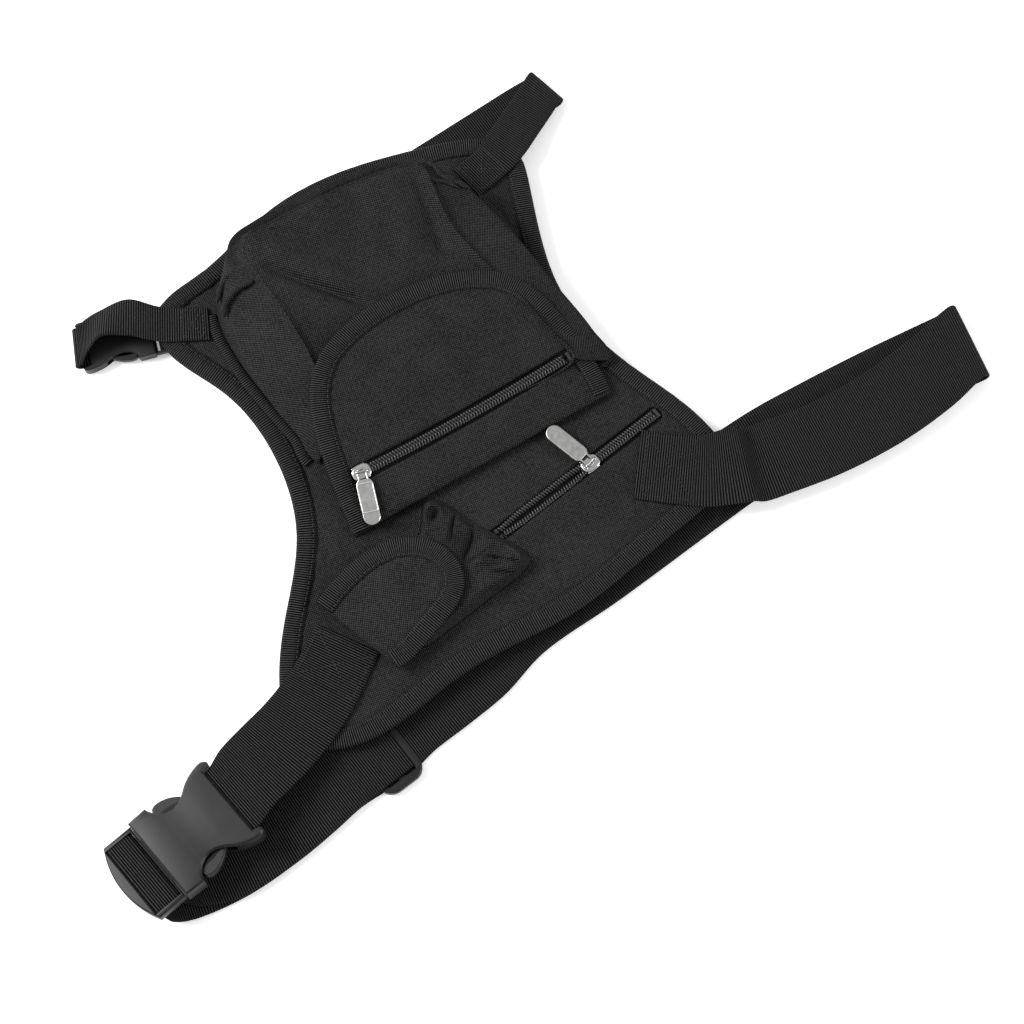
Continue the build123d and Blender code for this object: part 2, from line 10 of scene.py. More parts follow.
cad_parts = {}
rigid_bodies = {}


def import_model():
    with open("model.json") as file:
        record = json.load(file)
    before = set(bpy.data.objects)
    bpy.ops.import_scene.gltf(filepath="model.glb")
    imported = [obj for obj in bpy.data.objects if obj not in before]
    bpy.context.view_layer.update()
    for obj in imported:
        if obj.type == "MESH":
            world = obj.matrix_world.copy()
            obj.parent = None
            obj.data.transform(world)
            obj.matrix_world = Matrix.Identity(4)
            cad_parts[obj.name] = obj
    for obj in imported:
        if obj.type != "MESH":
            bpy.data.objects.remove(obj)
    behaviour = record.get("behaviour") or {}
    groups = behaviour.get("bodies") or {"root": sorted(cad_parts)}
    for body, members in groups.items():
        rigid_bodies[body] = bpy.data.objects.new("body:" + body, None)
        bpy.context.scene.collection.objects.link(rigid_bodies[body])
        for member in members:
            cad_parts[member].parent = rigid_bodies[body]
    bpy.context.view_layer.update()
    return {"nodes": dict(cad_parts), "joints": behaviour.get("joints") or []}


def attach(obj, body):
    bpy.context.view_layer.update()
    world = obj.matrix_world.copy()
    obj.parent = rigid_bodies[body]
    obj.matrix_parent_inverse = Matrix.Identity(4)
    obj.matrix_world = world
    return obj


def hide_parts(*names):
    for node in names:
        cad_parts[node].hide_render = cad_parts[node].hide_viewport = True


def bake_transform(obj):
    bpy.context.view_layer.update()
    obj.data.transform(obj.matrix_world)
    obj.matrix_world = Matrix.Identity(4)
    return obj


# The looks of a padded harness pack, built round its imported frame.
# Lengths are in millimetres and become metres where a mesh is made. Only the ends of the blends,
# the lights, the camera and the floor are given in metres.
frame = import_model()

MM = 0.001
JOINTS = {joint["name"]: joint for joint in frame["joints"]}

# ---------------------------------------------------------------- driving dimensions
WEBBING = 1.6
RIB, TAPE_RIB = 1.55, 1.5        # pitch of the ribs on webbing and on binding tape
CLOTH = 0.8
WIDE, NARROW = 50.0, 27.0
GROUND_LAYER, SECOND_LAYER = 1.2, 3.9
BINDING_WIDTH = 12.0
PANEL_TOP, PANEL_BOTTOM = 11.5, 6.5
SEWN_ON = 12.5
PATCH = SEWN_ON + WEBBING / 2
FOOT = SEWN_ON + 0.1     # where the walls of the bags meet the panel
BINDING_TOP = 12.3
FLAP_FACE = 3.7          # the big flap's outer cloth, above its hinge plane
UNDER_FLAP = 2.6         # how far a bag's front lies below its flap's plane
FINE_THREAD = 0.42
FLAP_TILT, POUCH_TILT = 9.8, 6.0
PANEL_INSET, FLAP_INSET = 0.8, 0.6       # how far cloth stops inside its edge, under the tape
HALF_TURN = (90, 45, 0, -45, -90)
ZIP_PULL_AXIS = 5.6


# ---------------------------------------------------------------- small geometry helpers
def unit(vectors):
    vectors = np.asarray(vectors, float)
    return vectors / np.maximum(np.linalg.norm(vectors, axis=-1, keepdims=True), 1e-9)


class Plane:
    """A local frame: at(u, v, w) gives points in the row's frame."""

    def __init__(self, origin, heading, tilt=0.0, roll=0.0):
        h, t, r = radians(heading), radians(tilt), radians(roll)
        self.origin = np.array(origin, float)
        self.u = np.array([cos(h), sin(h), 0])
        self.v = np.array([-sin(h) * cos(t + r), cos(h) * cos(t + r), sin(t + r)])
        self.w = np.cross(self.u, self.v)

    def at(self, u, v, w=0.0):
        u, v, w = np.broadcast_arrays(np.asarray(u, float), v, w)
        return self.origin + u[..., None] * self.u + v[..., None] * self.v + w[..., None] * self.w

    def local(self, points):
        away = points - self.origin
        return np.stack([away @ self.u, away @ self.v, away @ self.w], -1)

    def turned(self, angle, at=(0, 0, 0)):
        """The same plane with its origin moved to a local point and u turned towards v."""
        other = Plane(self.at(*at), 0)
        a = radians(angle)
        other.u = cos(a) * self.u + sin(a) * self.v
        other.v = cos(a) * self.v - sin(a) * self.u
        other.w = self.w
        return other


def joint_place(name):
    return np.array(JOINTS[name]["pos_m"]) / MM


def joint_heading(name):
    axis = JOINTS[name]["axis"]
    return degrees(atan2(axis[1], axis[0]))


def smooth_path(points, step, closed=False):
    """Rows along a smooth curve through points, evenly spaced. Extra columns are carried along."""
    points = np.asarray(points, float)
    if closed:
        points = np.vstack([points[-1], points, points[:2]])
    else:
        points = np.vstack([2 * points[0] - points[1], points, 2 * points[-1] - points[-2]])
    gaps = np.maximum(np.linalg.norm(np.diff(points[:, :3], axis=0), axis=1), 1e-6) ** 0.5
    knots = np.concatenate([[0], np.cumsum(gaps)])
    rows = []
    for i in range(1, len(points) - 2):
        t0, t1, t2, t3 = knots[i - 1:i + 3]
        p0, p1, p2, p3 = points[i - 1:i + 3]
        count = max(3, int(np.linalg.norm(p2[:3] - p1[:3]) / step * 2))
        t = np.linspace(t1, t2, count, endpoint=False)[:, None]
        a1 = (t1 - t) / (t1 - t0) * p0 + (t - t0) / (t1 - t0) * p1
        a2 = (t2 - t) / (t2 - t1) * p1 + (t - t1) / (t2 - t1) * p2
        a3 = (t3 - t) / (t3 - t2) * p2 + (t - t2) / (t3 - t2) * p3
        b1 = (t2 - t) / (t2 - t0) * a1 + (t - t0) / (t2 - t0) * a2
        b2 = (t3 - t) / (t3 - t1) * a2 + (t - t1) / (t3 - t1) * a3
        rows.append((t2 - t) / (t2 - t1) * b1 + (t - t1) / (t2 - t1) * b2)
    rows.append(points[-2][None])
    rows = np.vstack(rows)
    return evenly(rows, step)


def evenly(rows, step):
    """The same polyline with its points evenly spaced."""
    along = path_length(rows)
    count = max(2, int(round(along[-1] / step)) + 1)
    wanted = np.linspace(0, along[-1], count)
    return np.stack([np.interp(wanted, along, column) for column in rows.T], -1)


def path_length(rows):
    steps = np.linalg.norm(np.diff(rows[:, :3], axis=0), axis=1)
    return np.concatenate([[0], np.cumsum(steps)])


def inward(outline):
    """Unit normals that point into a closed outline that runs anticlockwise."""
    travel = np.roll(outline, -1, 0) - np.roll(outline, 1, 0)
    return unit(np.stack([-travel[:, 1], travel[:, 0]], -1))


def anticlockwise(outline):
    x, y = outline[:, 0], outline[:, 1]
    area = np.sum(x * np.roll(y, -1) - y * np.roll(x, -1))
    return outline if area > 0 else outline[::-1]


def inside(points, outline):
    x, y = points[:, 0], points[:, 1]
    result = np.zeros(len(points), bool)
    for (x1, y1), (x2, y2) in zip(outline, np.roll(outline, -1, 0)):
        crosses = ((y1 > y) != (y2 > y)) & (x < (x2 - x1) * (y - y1) / (y2 - y1 + 1e-12) + x1)
        result ^= crosses
    return result


def distance_to(points, line):
    """Distance from each point to the nearest part of a polyline."""
    best = np.full(len(points), 1e9)
    for a, b in zip(line[:-1], line[1:]):
        ab = b - a
        t = np.clip(((points - a) @ ab) / max(ab @ ab, 1e-9), 0, 1)
        best = np.minimum(best, np.linalg.norm(points - a - t[:, None] * ab, axis=1))
    return best


def ripple(points, size, seed=0.0):
    """Smooth noise between about -1 and 1 whose features are size millimetres across."""
    points = np.atleast_2d(points)
    flat = np.zeros((len(points), 3))
    flat[:, :points.shape[1]] = points / size
    return np.array([noise.noise(Vector((x, y, z + seed))) for x, y, z in flat])


def crease(points, start, end, width, depth):
    """A valley along a line that fades at both ends."""
    start, end = np.array(start, float), np.array(end, float)
    ab = end - start
    t = ((points - start) @ ab) / (ab @ ab)
    off = np.abs((points - start) @ np.array([-ab[1], ab[0]])) / np.linalg.norm(ab)
    fade = np.clip(1 - np.abs(2 * t - 1) ** 3, 0, 1) * (t > 0) * (t < 1)
    return -depth * fade * np.exp(-(off / width) ** 2)


# ---------------------------------------------------------------- making meshes
def piece(name, points, faces, material, body, uv=None, closed=True, smooth=True):
    """A mesh object from millimetre points, riding on a body. uv is in millimetres too."""
    mesh = bpy.data.meshes.new(name)
    mesh.from_pydata((np.asarray(points) * MM).tolist(), [], [list(map(int, face)) for face in faces])
    if uv is not None:
        layer = mesh.uv_layers.new(name="cloth")
        corners = np.zeros(len(mesh.loops), np.int32)
        mesh.loops.foreach_get("vertex_index", corners)
        layer.data.foreach_set("uv", np.asarray(uv, np.float32)[corners].ravel())
    if closed:
        work = bmesh.new()
        work.from_mesh(mesh)
        bmesh.ops.recalc_face_normals(work, faces=work.faces)
        work.to_mesh(mesh)
        work.free()
    mesh.polygons.foreach_set("use_smooth", [smooth] * len(mesh.polygons))
    mesh.materials.append(material[0])
    thing = bpy.data.objects.new(name, mesh)
    bpy.context.scene.collection.objects.link(thing)
    if body:
        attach(thing, body)
    return thing


def grid_faces(rows, columns, wrap):
    row = np.arange(rows - 1)[:, None]
    column = np.arange(columns if wrap else columns - 1)[None, :]
    following = (column + 1) % columns
    corners = [row * columns + column, row * columns + following,
               (row + 1) * columns + following, (row + 1) * columns + column]
    return np.stack(corners, -1).reshape(-1, 4)


def capped_faces(rows, columns):
    """Faces of a closed strip of rings, with a flat cap at each end."""
    faces = [list(face) for face in grid_faces(rows, columns, True)]
    return faces + [list(range(columns)), list(range((rows - 1) * columns, rows * columns))[::-1]]


def round_profile(radius, sides):
    angle = np.linspace(0, 2 * pi, sides, endpoint=False)
    return radius * np.stack([np.cos(angle), np.sin(angle)], -1)


def sweep(name, centre, side, up, profile, material, body, extra=None):
    """A closed cross-section of (side, up) offsets carried along a path, with flat ends."""
    profile = np.broadcast_to(profile, (len(centre),) + profile.shape[-2:])
    points = centre[:, None] + profile[..., :1] * side[:, None] + profile[..., 1:] * up[:, None]
    if extra is not None:
        points = points + extra
    rows, columns = points.shape[:2]
    along = np.broadcast_to(path_length(centre)[:, None], (rows, columns))
    uv = np.stack([along, profile[..., 0]], -1).reshape(-1, 2)
    return piece(name, points.reshape(-1, 3), capped_faces(rows, columns), material, body, uv)


def tube(name, path, radius, material, body, sides=8, across=(0, 0, 1)):
    """A round bar along a path. across is any direction that the path never runs along."""
    travel = unit(np.gradient(path, axis=0))
    side = unit(np.cross(travel, across))
    return sweep(name, path, side, np.cross(side, travel), round_profile(radius, sides), material, body)


def stack(name, outline, levels, plane, material, body):
    """A plate from one outline: each level is (inset, height), and the first and last are closed."""
    normals = inward(outline)
    rings = [plane.at(*(outline + normals * inset).T, height) for inset, height in levels]
    points = np.vstack(rings)
    count = len(outline)
    faces = [list(face) for face in grid_faces(len(rings), count, True)]
    faces += [list(range(count))[::-1], list(range(len(points) - count, len(points)))]
    uv = np.vstack([outline] * len(rings))
    plate = piece(name, points, faces, material, body, uv)
    for cap in list(plate.data.polygons)[-2:]:
        cap.use_smooth = False
    return plate


def thicken(cloth, thickness, offset):
    solid = cloth.modifiers.new("thickness", "SOLIDIFY")
    solid.thickness, solid.offset = thickness * MM, offset


def sheet(name, outline, place, material, body, spacing=3.0, holes=(), thickness=CLOTH, offset=-1.0):
    """Cloth inside an outline. place turns (n, 2) points into the row's frame."""
    loops = [evenly(np.vstack([loop, loop[:1]]), spacing)[:-1] for loop in (outline, *holes)]
    low, high = outline.min(0), outline.max(0)
    columns, rows = np.arange(low[0], high[0], spacing), np.arange(low[1], high[1], spacing * 0.87)
    across, along = np.meshgrid(columns, rows)
    across = across + (np.arange(len(across)) % 2)[:, None] * spacing / 2
    points = np.stack([across.ravel(), along.ravel()], -1)
    points = points[inside(points, outline)]
    for loop in loops:
        ring = np.vstack([loop, loop[:1]])
        points = points[distance_to(points, ring) > spacing * 0.45]
    for loop in loops[1:]:
        points = points[~inside(points, loop)]
    edges, start = [], 0
    for loop in loops:
        edges += [(start + i, start + (i + 1) % len(loop)) for i in range(len(loop))]
        start += len(loop)
    flat = np.vstack(loops + [points])
    verts, _, triangles, _, _, _ = delaunay_2d_cdt([Vector(p) for p in flat], edges, [], 1, 1e-4)
    flat = np.array([tuple(v) for v in verts])
    middles = np.array([flat[list(t)].mean(0) for t in triangles])
    keep = inside(middles, loops[0])
    for loop in loops[1:]:
        keep &= ~inside(middles, loop)
    faces = [t for t, kept in zip(triangles, keep) if kept]
    cloth = piece(name, place(flat), faces, material, body, flat, closed=False)
    thicken(cloth, thickness, offset)
    return cloth


def stitches(name, path, up, material, body, pitch=3.4, length=2.3, width=0.55):
    """Thread that shows as short beads along a line on a surface."""
    path = evenly(np.asarray(path, float), pitch)
    middles = (path[:-1] + path[1:]) / 2
    travel = unit(path[1:] - path[:-1])
    up = np.broadcast_to(np.asarray(up, float), middles.shape)
    side = unit(np.cross(up, travel))
    up = np.cross(travel, side)
    rings = [(-0.5, 0.35), (-0.32, 0.9), (0.0, 1.0), (0.32, 0.9), (0.5, 0.35)]
    angles = np.linspace(0, 2 * pi, 6, endpoint=False)
    points, faces = [], []
    ring_faces = grid_faces(len(rings), 6, True)
    for i, middle in enumerate(middles):
        base = i * len(rings) * 6
        for along, size in rings:
            for a in angles:
                points.append(middle + travel[i] * along * length
                              + (side[i] * cos(a) + up[i] * (sin(a) + 0.2)) * size * width / 2)
        faces += [[base + k for k in face] for face in ring_faces]
        last = base + (len(rings) - 1) * 6
        faces += [[base + k for k in range(6)], [last + k for k in range(5, -1, -1)]]
    return piece(name, points, faces, material, body)


# ---------------------------------------------------------------- materials
class Nodes:
    """Short calls that wire up one procedural material."""

    def __init__(self, name, color, roughness, metallic=0.0, sheen=0.0, specular=0.5):
        self.material = bpy.data.materials.new(name)
        self.material.use_nodes = True
        self.tree = self.material.node_tree
        self.shader = self.tree.nodes["Principled BSDF"]
        self.shader.inputs["Base Color"].default_value = (*color, 1)
        self.shader.inputs["Roughness"].default_value = roughness
        self.shader.inputs["Metallic"].default_value = metallic
        self.shader.inputs["Specular IOR Level"].default_value = specular
        self.shader.inputs["Sheen Weight"].default_value = sheen
        self.shader.inputs["Sheen Roughness"].default_value = 0.5
        self.color = color

    def link(self, source, node, name):
        self.tree.links.new(source, node.inputs[name])

    def math(self, operation, *values):
        node = self.tree.nodes.new("ShaderNodeMath")
        node.operation = operation
        for i, value in enumerate(values):
            if isinstance(value, (int, float)):
                node.inputs[i].default_value = value
            else:
                self.tree.links.new(value, node.inputs[i])
        return node.outputs[0]

    def cloth_place(self):
        """(along, across) in millimetres from the piece's own cloth map."""
        node = self.tree.nodes.new("ShaderNodeUVMap")
        node.uv_map = "cloth"
        split = self.tree.nodes.new("ShaderNodeSeparateXYZ")
        self.link(node.outputs[0], split, 0)
        return split.outputs[0], split.outputs[1]

    def object_place(self):
        return self.tree.nodes.new("ShaderNodeTexCoord").outputs["Object"]

    def noise(self, size, detail=3.0, place=None):
        """Noise whose features are size millimetres across, between 0 and 1."""
        node = self.tree.nodes.new("ShaderNodeTexNoise")
        self.link(place or self.object_place(), node, "Vector")
        node.inputs["Scale"].default_value = 1 / (size * MM)
        node.inputs["Detail"].default_value = detail
        return node.outputs["Fac"]

    def wave(self, place, pitch):
        """A sine between -1 and 1 with this pitch."""
        return self.math("SINE", self.math("MULTIPLY", place, 2 * pi / pitch))

    def bump(self, height, depth, strength=1.0):
        """height is 0 to 1, and stands depth millimetres high."""
        node = self.tree.nodes.new("ShaderNodeBump")
        node.inputs["Distance"].default_value = depth * MM
        node.inputs["Strength"].default_value = strength
        self.link(height, node, "Height")
        self.link(node.outputs[0], self.shader, "Normal")

    def spread(self, amount, low, high):
        """A value that runs from low to high as amount goes from 0 to 1."""
        node = self.tree.nodes.new("ShaderNodeMapRange")
        node.inputs["To Min"].default_value = low
        node.inputs["To Max"].default_value = high
        self.link(amount, node, "Value")
        return node.outputs[0]

    def tint(self, amount, low, high):
        """The base colour times a value that runs from low to high."""
        mix = self.tree.nodes.new("ShaderNodeVectorMath")
        mix.operation = "SCALE"
        mix.inputs[0].default_value = self.color
        self.link(self.spread(amount, low, high), mix, "Scale")
        self.link(mix.outputs[0], self.shader, "Base Color")

    def rough(self, amount, low, high):
        self.link(self.spread(amount, low, high), self.shader, "Roughness")


def woven_cloth(name, color, pitch, depth):
    """Plain weave: threads that pass over and under each other, with slubs and faint mottling."""
    nodes = Nodes(name, color, 0.7, specular=0.05)
    along, across = nodes.cloth_place()
    weave = nodes.math("MULTIPLY", nodes.wave(along, pitch), nodes.wave(across, pitch))
    thread = nodes.math("MULTIPLY", nodes.math("ADD", weave, 1.0), 0.5)
    slub = nodes.noise(1.4, 3.0)
    mottle = nodes.noise(22.0, 3.0)
    height = nodes.math("ADD", nodes.math("MULTIPLY", thread, 0.7), nodes.math("MULTIPLY", slub, 0.6))
    nodes.bump(height, depth)
    shade = nodes.math("MULTIPLY", thread, nodes.math("ADD", nodes.math("MULTIPLY", slub, 1.3), 0.3))
    mottled = nodes.math("ADD", shade, nodes.math("MULTIPLY", mottle, 0.25))
    nodes.tint(nodes.math("POWER", mottled, 2.4), 0.1, 6.2)
    nodes.rough(slub, 0.6, 0.85)
    return nodes.material


def ribbed_tape(name, color, pitch, depth):
    """Ribs across the tape's length, crossed by fine warp threads, with painted highlight on the rib tops and
    painted shade between them.
    """
    nodes = Nodes(name, color, 0.6, specular=0.05)
    along, across = nodes.cloth_place()
    rib = nodes.math("ABSOLUTE", nodes.math("SINE", nodes.math("MULTIPLY", along, pi / pitch)))
    warp = nodes.math("MULTIPLY", nodes.math("ADD", nodes.wave(across, 0.9), 1.0), 0.5)
    fuzz = nodes.noise(0.9, 2.0)
    painted_crest_light = nodes.math("POWER", rib, 3.2)
    height = nodes.math("ADD", nodes.math("ADD", rib, nodes.math("MULTIPLY", fuzz, 0.25)),
                        nodes.math("MULTIPLY", warp, 0.15))
    nodes.bump(height, depth)
    flecks = nodes.math("ADD", nodes.math("MULTIPLY", fuzz, 0.9), nodes.math("MULTIPLY", warp, 0.3))
    shade = nodes.math("POWER", nodes.math("ADD", flecks, 0.2), 1.5)
    # The rib tops are painted paler and the grooves between them darker: painted highlight and painted shade
    # across the ribs.
    nodes.tint(nodes.math("MULTIPLY", painted_crest_light, shade), 0.0, 8.5)
    nodes.rough(fuzz, 0.5, 0.75)
    return nodes.material


def moulded_plastic(name, color, roughness):
    """Satin plastic with a fine grain, and sharp edges painted a little paler as a highlight along the rims.
    """
    nodes = Nodes(name, color, roughness, specular=0.34)
    grain = nodes.noise(0.35, 2.0)
    cloud = nodes.noise(14.0, 2.0)
    nodes.bump(grain, 0.02, 0.5)
    edge = nodes.tree.nodes.new("ShaderNodeNewGeometry").outputs["Pointiness"]
    # Sharp edges are painted paler here: a painted highlight along the rims, from pointiness.
    painted_rim_highlight = nodes.math("MULTIPLY", nodes.math("SUBTRACT", edge, 0.5), 9.0)
    nodes.tint(nodes.math("ADD", painted_rim_highlight, nodes.math("MULTIPLY", cloud, 0.4)), 0.8, 1.7)
    nodes.rough(cloud, roughness - 0.06, roughness + 0.08)
    return nodes.material


def plated_metal(name, color, roughness, scratch):
    """Nickel plate with fine scratches and slightly uneven polish."""
    nodes = Nodes(name, color, roughness, metallic=1.0)
    scratches = nodes.noise(0.5, 4.0)
    cloud = nodes.noise(3.0, 3.0)
    nodes.bump(scratches, 0.015, scratch)
    nodes.tint(cloud, 0.85, 1.08)
    nodes.rough(cloud, roughness * 0.7, roughness * 1.4)
    return nodes.material


def pile_tape(name, color):
    """The fuzzy surface of hook-and-loop tape."""
    nodes = Nodes(name, color, 0.9, sheen=0.3, specular=0.2)
    nodes.bump(nodes.noise(0.45, 4.0), 0.5)
    nodes.tint(nodes.noise(0.8, 3.0), 0.5, 1.7)
    return nodes.material


def air_mesh(name, color):
    """Knitted mesh with a regular pattern of small holes."""
    nodes = Nodes(name, color, 0.8, sheen=0.15, specular=0.3)
    cells = nodes.tree.nodes.new("ShaderNodeTexVoronoi")
    nodes.link(nodes.object_place(), cells, "Vector")
    cells.inputs["Scale"].default_value = 1 / (2.6 * MM)
    cells.inputs["Randomness"].default_value = 0.25
    nodes.bump(cells.outputs["Distance"], 0.5)
    nodes.tint(cells.outputs["Distance"], 0.4, 1.6)
    return nodes.material


OXFORD = (woven_cloth("oxford_cloth", (0.0076, 0.0076, 0.0078), 1.6, 0.45), "oxford_cloth")
LINING = (woven_cloth("lining_cloth", (0.016, 0.016, 0.017), 0.9, 0.08), "lining_cloth")
WEB = (ribbed_tape("webbing", (0.0058, 0.0058, 0.006), RIB, 0.6), "webbing")
GROSGRAIN = (ribbed_tape("grosgrain_tape", (0.0068, 0.0068, 0.007), TAPE_RIB, 0.55), "grosgrain_tape")
ZIP_TAPE = (woven_cloth("zip_tape", (0.0028, 0.0028, 0.003), 0.9, 0.1), "zip_tape")
COIL = (moulded_plastic("zip_coil", (0.020, 0.020, 0.0205), 0.24), "zip_coil")
PLASTIC = (moulded_plastic("buckle_plastic", (0.0045, 0.0045, 0.005), 0.42), "buckle_plastic")
METAL = (plated_metal("plated_metal", (0.56, 0.555, 0.55), 0.26, 0.3), "plated_metal")
SATIN = (plated_metal("satin_metal", (0.42, 0.42, 0.415), 0.45, 1.0), "plated_metal")
BRIGHT = (plated_metal("bright_metal", (0.8, 0.79, 0.78), 0.36, 0.2), "plated_metal")
PILE = (pile_tape("hook_and_loop", (0.012, 0.012, 0.0125)), "hook_and_loop")
FOAM = (pile_tape("foam", (0.03, 0.03, 0.03)), "foam")
MESH = (air_mesh("spacer_mesh", (0.02, 0.02, 0.021)), "spacer_mesh")
THREAD = (moulded_plastic("thread", (0.01, 0.01, 0.01), 0.6), "oxford_cloth")


# ---------------------------------------------------------------- webbing and edge tape
def webbing_frames(stations, step):
    """Centre, side, up and width along stations of (x, y, z, across heading, roll, width)."""
    table = smooth_path(stations, step)
    centre, across, roll = table[:, :3], np.radians(table[:, 3]), np.radians(table[:, 4])
    travel = unit(np.gradient(centre, axis=0))
    side = np.stack([np.cos(across) * np.cos(roll), np.sin(across) * np.cos(roll), np.sin(roll)], -1)
    forward = unit(travel - np.sum(side * travel, -1, keepdims=True) * side)
    return centre, side, np.cross(forward, side), table[:, 5]


def webbing_profile(columns=13):
    """A thin rounded slab, as shares of half the width and half the thickness."""
    flat = np.linspace(0.97, -0.97, columns)
    top = np.stack([flat, np.ones(columns)], -1)
    edge = np.array([(-0.995, 0.55), (-1.0, 0.0), (-0.995, -0.55)])
    return np.vstack([top, edge, -top, -edge])


def webbing(name, stations, body, step=1.2, lift=None):
    """Flat webbing that follows its stations. lift(along, across) raises it off its line."""
    centre, side, up, width = webbing_frames(stations, step)
    shape = webbing_profile()
    profile = np.stack([shape[None, :, 0] * width[:, None] / 2,
                        np.broadcast_to(shape[:, 1] * WEBBING / 2, (len(centre), len(shape)))], -1)
    extra = None
    if lift:
        along = np.broadcast_to(path_length(centre)[:, None], profile.shape[:2])
        extra = lift(along, profile[..., 0])[..., None] * up[:, None]
    return sweep(name, centre, side, up, profile, WEB, body, extra=extra)


def tape_profile(reach, low, high, thickness=0.5, nose=0.4):
    """Tape folded over an edge, as (inward, height) points of a thin C."""
    middle, half = (low + high) / 2, (high - low) / 2
    turn = np.linspace(pi / 2, 3 * pi / 2, 9)

    def shell(shrink):
        arc = np.stack([half * 0.75 + np.cos(turn) * (half * 0.75 + nose - shrink),
                        middle + np.sin(turn) * (half - shrink)], -1)
        ends = [[(reach, high - shrink)], [(reach * 0.55, high - shrink)]]
        lows = [[(reach * 0.55, low + shrink)], [(reach, low + shrink)]]
        return np.vstack(ends + [arc] + lows)

    return np.vstack([shell(0), shell(thickness)[::-1]])


def edge_tape(name, path, normals, place, profile, material, body, puckers=0.25, step_seed=0.0):
    """Folded tape along the edge of a plane piece. path and normals are in the plane."""
    along = path_length(np.c_[path, np.zeros(len(path))])
    wave = ripple(np.c_[along, along * 0], 5.0, step_seed) * puckers
    rows, columns = len(path), len(profile)
    inward_reach = np.broadcast_to(profile[:, 0], (rows, columns)).copy()
    inward_reach[:, inward_reach[0] > BINDING_WIDTH * 0.4] += wave[:, None] * 1.2
    flat = path[:, None] + inward_reach[..., None] * normals[:, None]
    height = profile[:, 1] + wave[:, None] * (profile[:, 1] > profile[:, 1].mean())
    points = place(flat.reshape(-1, 2), height.ravel())
    uv = np.stack([np.broadcast_to(along[:, None], (rows, columns)), inward_reach], -1).reshape(-1, 2)
    return piece(name, points, capped_faces(rows, columns), material, body, uv)


def node_outline(node, plane, grow):
    """The outline of a flat CAD sheet in a plane, moved out from its edge by grow."""
    points = np.array([v.co for v in frame["nodes"][node].data.vertices]) / MM
    local = plane.local(points)
    flat = np.unique(np.round(local[local[:, 2] < local[:, 2].min() + 0.3][:, :2], 2), axis=0)
    middle = (flat.min(0) + flat.max(0)) / 2
    order = np.argsort(np.arctan2(*(flat - middle).T[::-1]))
    flat = flat[order]
    return flat - inward(flat) * grow


# ---------------------------------------------------------------- panel
ground = Plane((0, 0, 0), 0)
panel_zip = Plane(joint_place("panel_pull_flip") * [1, 1, 0], joint_heading("panel_zip_slide"))
PANEL_ZIP_SPAN = (-71.0, 52.0)      # the chain's ends, from the slider
panel_edge = smooth_path(node_outline("panel_lining", ground, 1.0), 2.0, closed=True)[:-1]


def panel_height(points):
    """Height of the panel's face: a soft crown, dips along seams and small puckers."""
    edge = distance_to(points, np.vstack([panel_edge, panel_edge[:1]]))
    crown = 0.9 * (1 - np.exp(-np.maximum(edge - BINDING_WIDTH, 0) / 14)) - 0.3
    local = panel_zip.local(np.c_[points, points[:, :1] * 0])
    near_zip = np.abs(local[:, 1]) / 9
    in_span = 1 / (1 + np.exp((np.abs(local[:, 0] + 9) - 70) / 6))
    welt = 0.5 * np.exp(-(near_zip - 1.3) ** 2 / 0.2) * in_span
    puckers = 0.45 * ripple(points, 16.0, 3.0) + 0.2 * ripple(points, 7.0, 8.0)
    edge_puckers = 0.5 * ripple(points, 9.0, 5.0) * np.exp(-((edge - 14) / 6) ** 2)
    drape = crease(points, (-45, -120), (20, -95), 8, 1.0) + crease(points, (40, -128), (95, -92), 7, 0.8)
    drape += crease(points, (118, -50), (90, -20), 6, 0.8)
    return PANEL_TOP + crown + welt + puckers + edge_puckers + drape


def panel_place(points):
    return np.c_[points, panel_height(points)]


def slit(low, high, below, above, bow=0.0, count=40):
    """A long opening with round ends along x, as a closed outline."""
    x = np.linspace(low, high, count)
    sag = bow * (((x - low) / (high - low) * 2 - 1) ** 2 - 1)
    upper = np.stack([x, above + sag], -1)
    lower = np.stack([x, -below + sag], -1)[::-1]
    half = (above + below) / 2
    turn = np.linspace(pi / 2, -pi / 2, 7)[1:-1]
    right = np.stack([high + half * 0.6 * np.cos(turn), (above - below) / 2 + half * np.sin(turn)], -1)
    left = np.stack([low - half * 0.6 * np.cos(turn), (above - below) / 2 - half * np.sin(turn)], -1)
    return anticlockwise(np.vstack([upper, right, lower, left]))


panel_slit = slit(PANEL_ZIP_SPAN[0] - 6, PANEL_ZIP_SPAN[1] + 2, 5.4, 5.0)
panel_slit_ground = panel_zip.at(*panel_slit.T)[:, :2]
panel_cloth = panel_edge + inward(panel_edge) * PANEL_INSET
cover = sheet("panel_cover", panel_cloth, panel_place, OXFORD, "root", spacing=2.6,
              holes=[panel_slit_ground])
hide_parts("panel_face")


def lining_place(points):
    edge = distance_to(points, np.vstack([panel_edge, panel_edge[:1]]))
    dip = 0.15 * ripple(points, 22.0, 11.0) + 0.35 * np.exp(-edge / 10)
    return np.c_[points, PANEL_BOTTOM + dip]


lining = sheet("panel_inner_cloth", panel_cloth, lining_place, LINING, "root", spacing=4.0, offset=1.0)
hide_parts("panel_lining")

edge_path = smooth_path(panel_edge, 0.45, closed=True)
edge_normals = inward(edge_path)
binding = edge_tape("panel_edge_tape", edge_path, edge_normals, lambda flat, height: np.c_[flat, height],
                    tape_profile(BINDING_WIDTH, 5.9, BINDING_TOP), GROSGRAIN, "root", puckers=0.35)
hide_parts("panel_binding")
seam = edge_path + edge_normals * (BINDING_WIDTH - 1.6)
seam = np.c_[seam, np.full(len(seam), BINDING_TOP + 0.05)]
stitches("panel_edge_stitches", seam, (0, 0, 1), THREAD, "root")


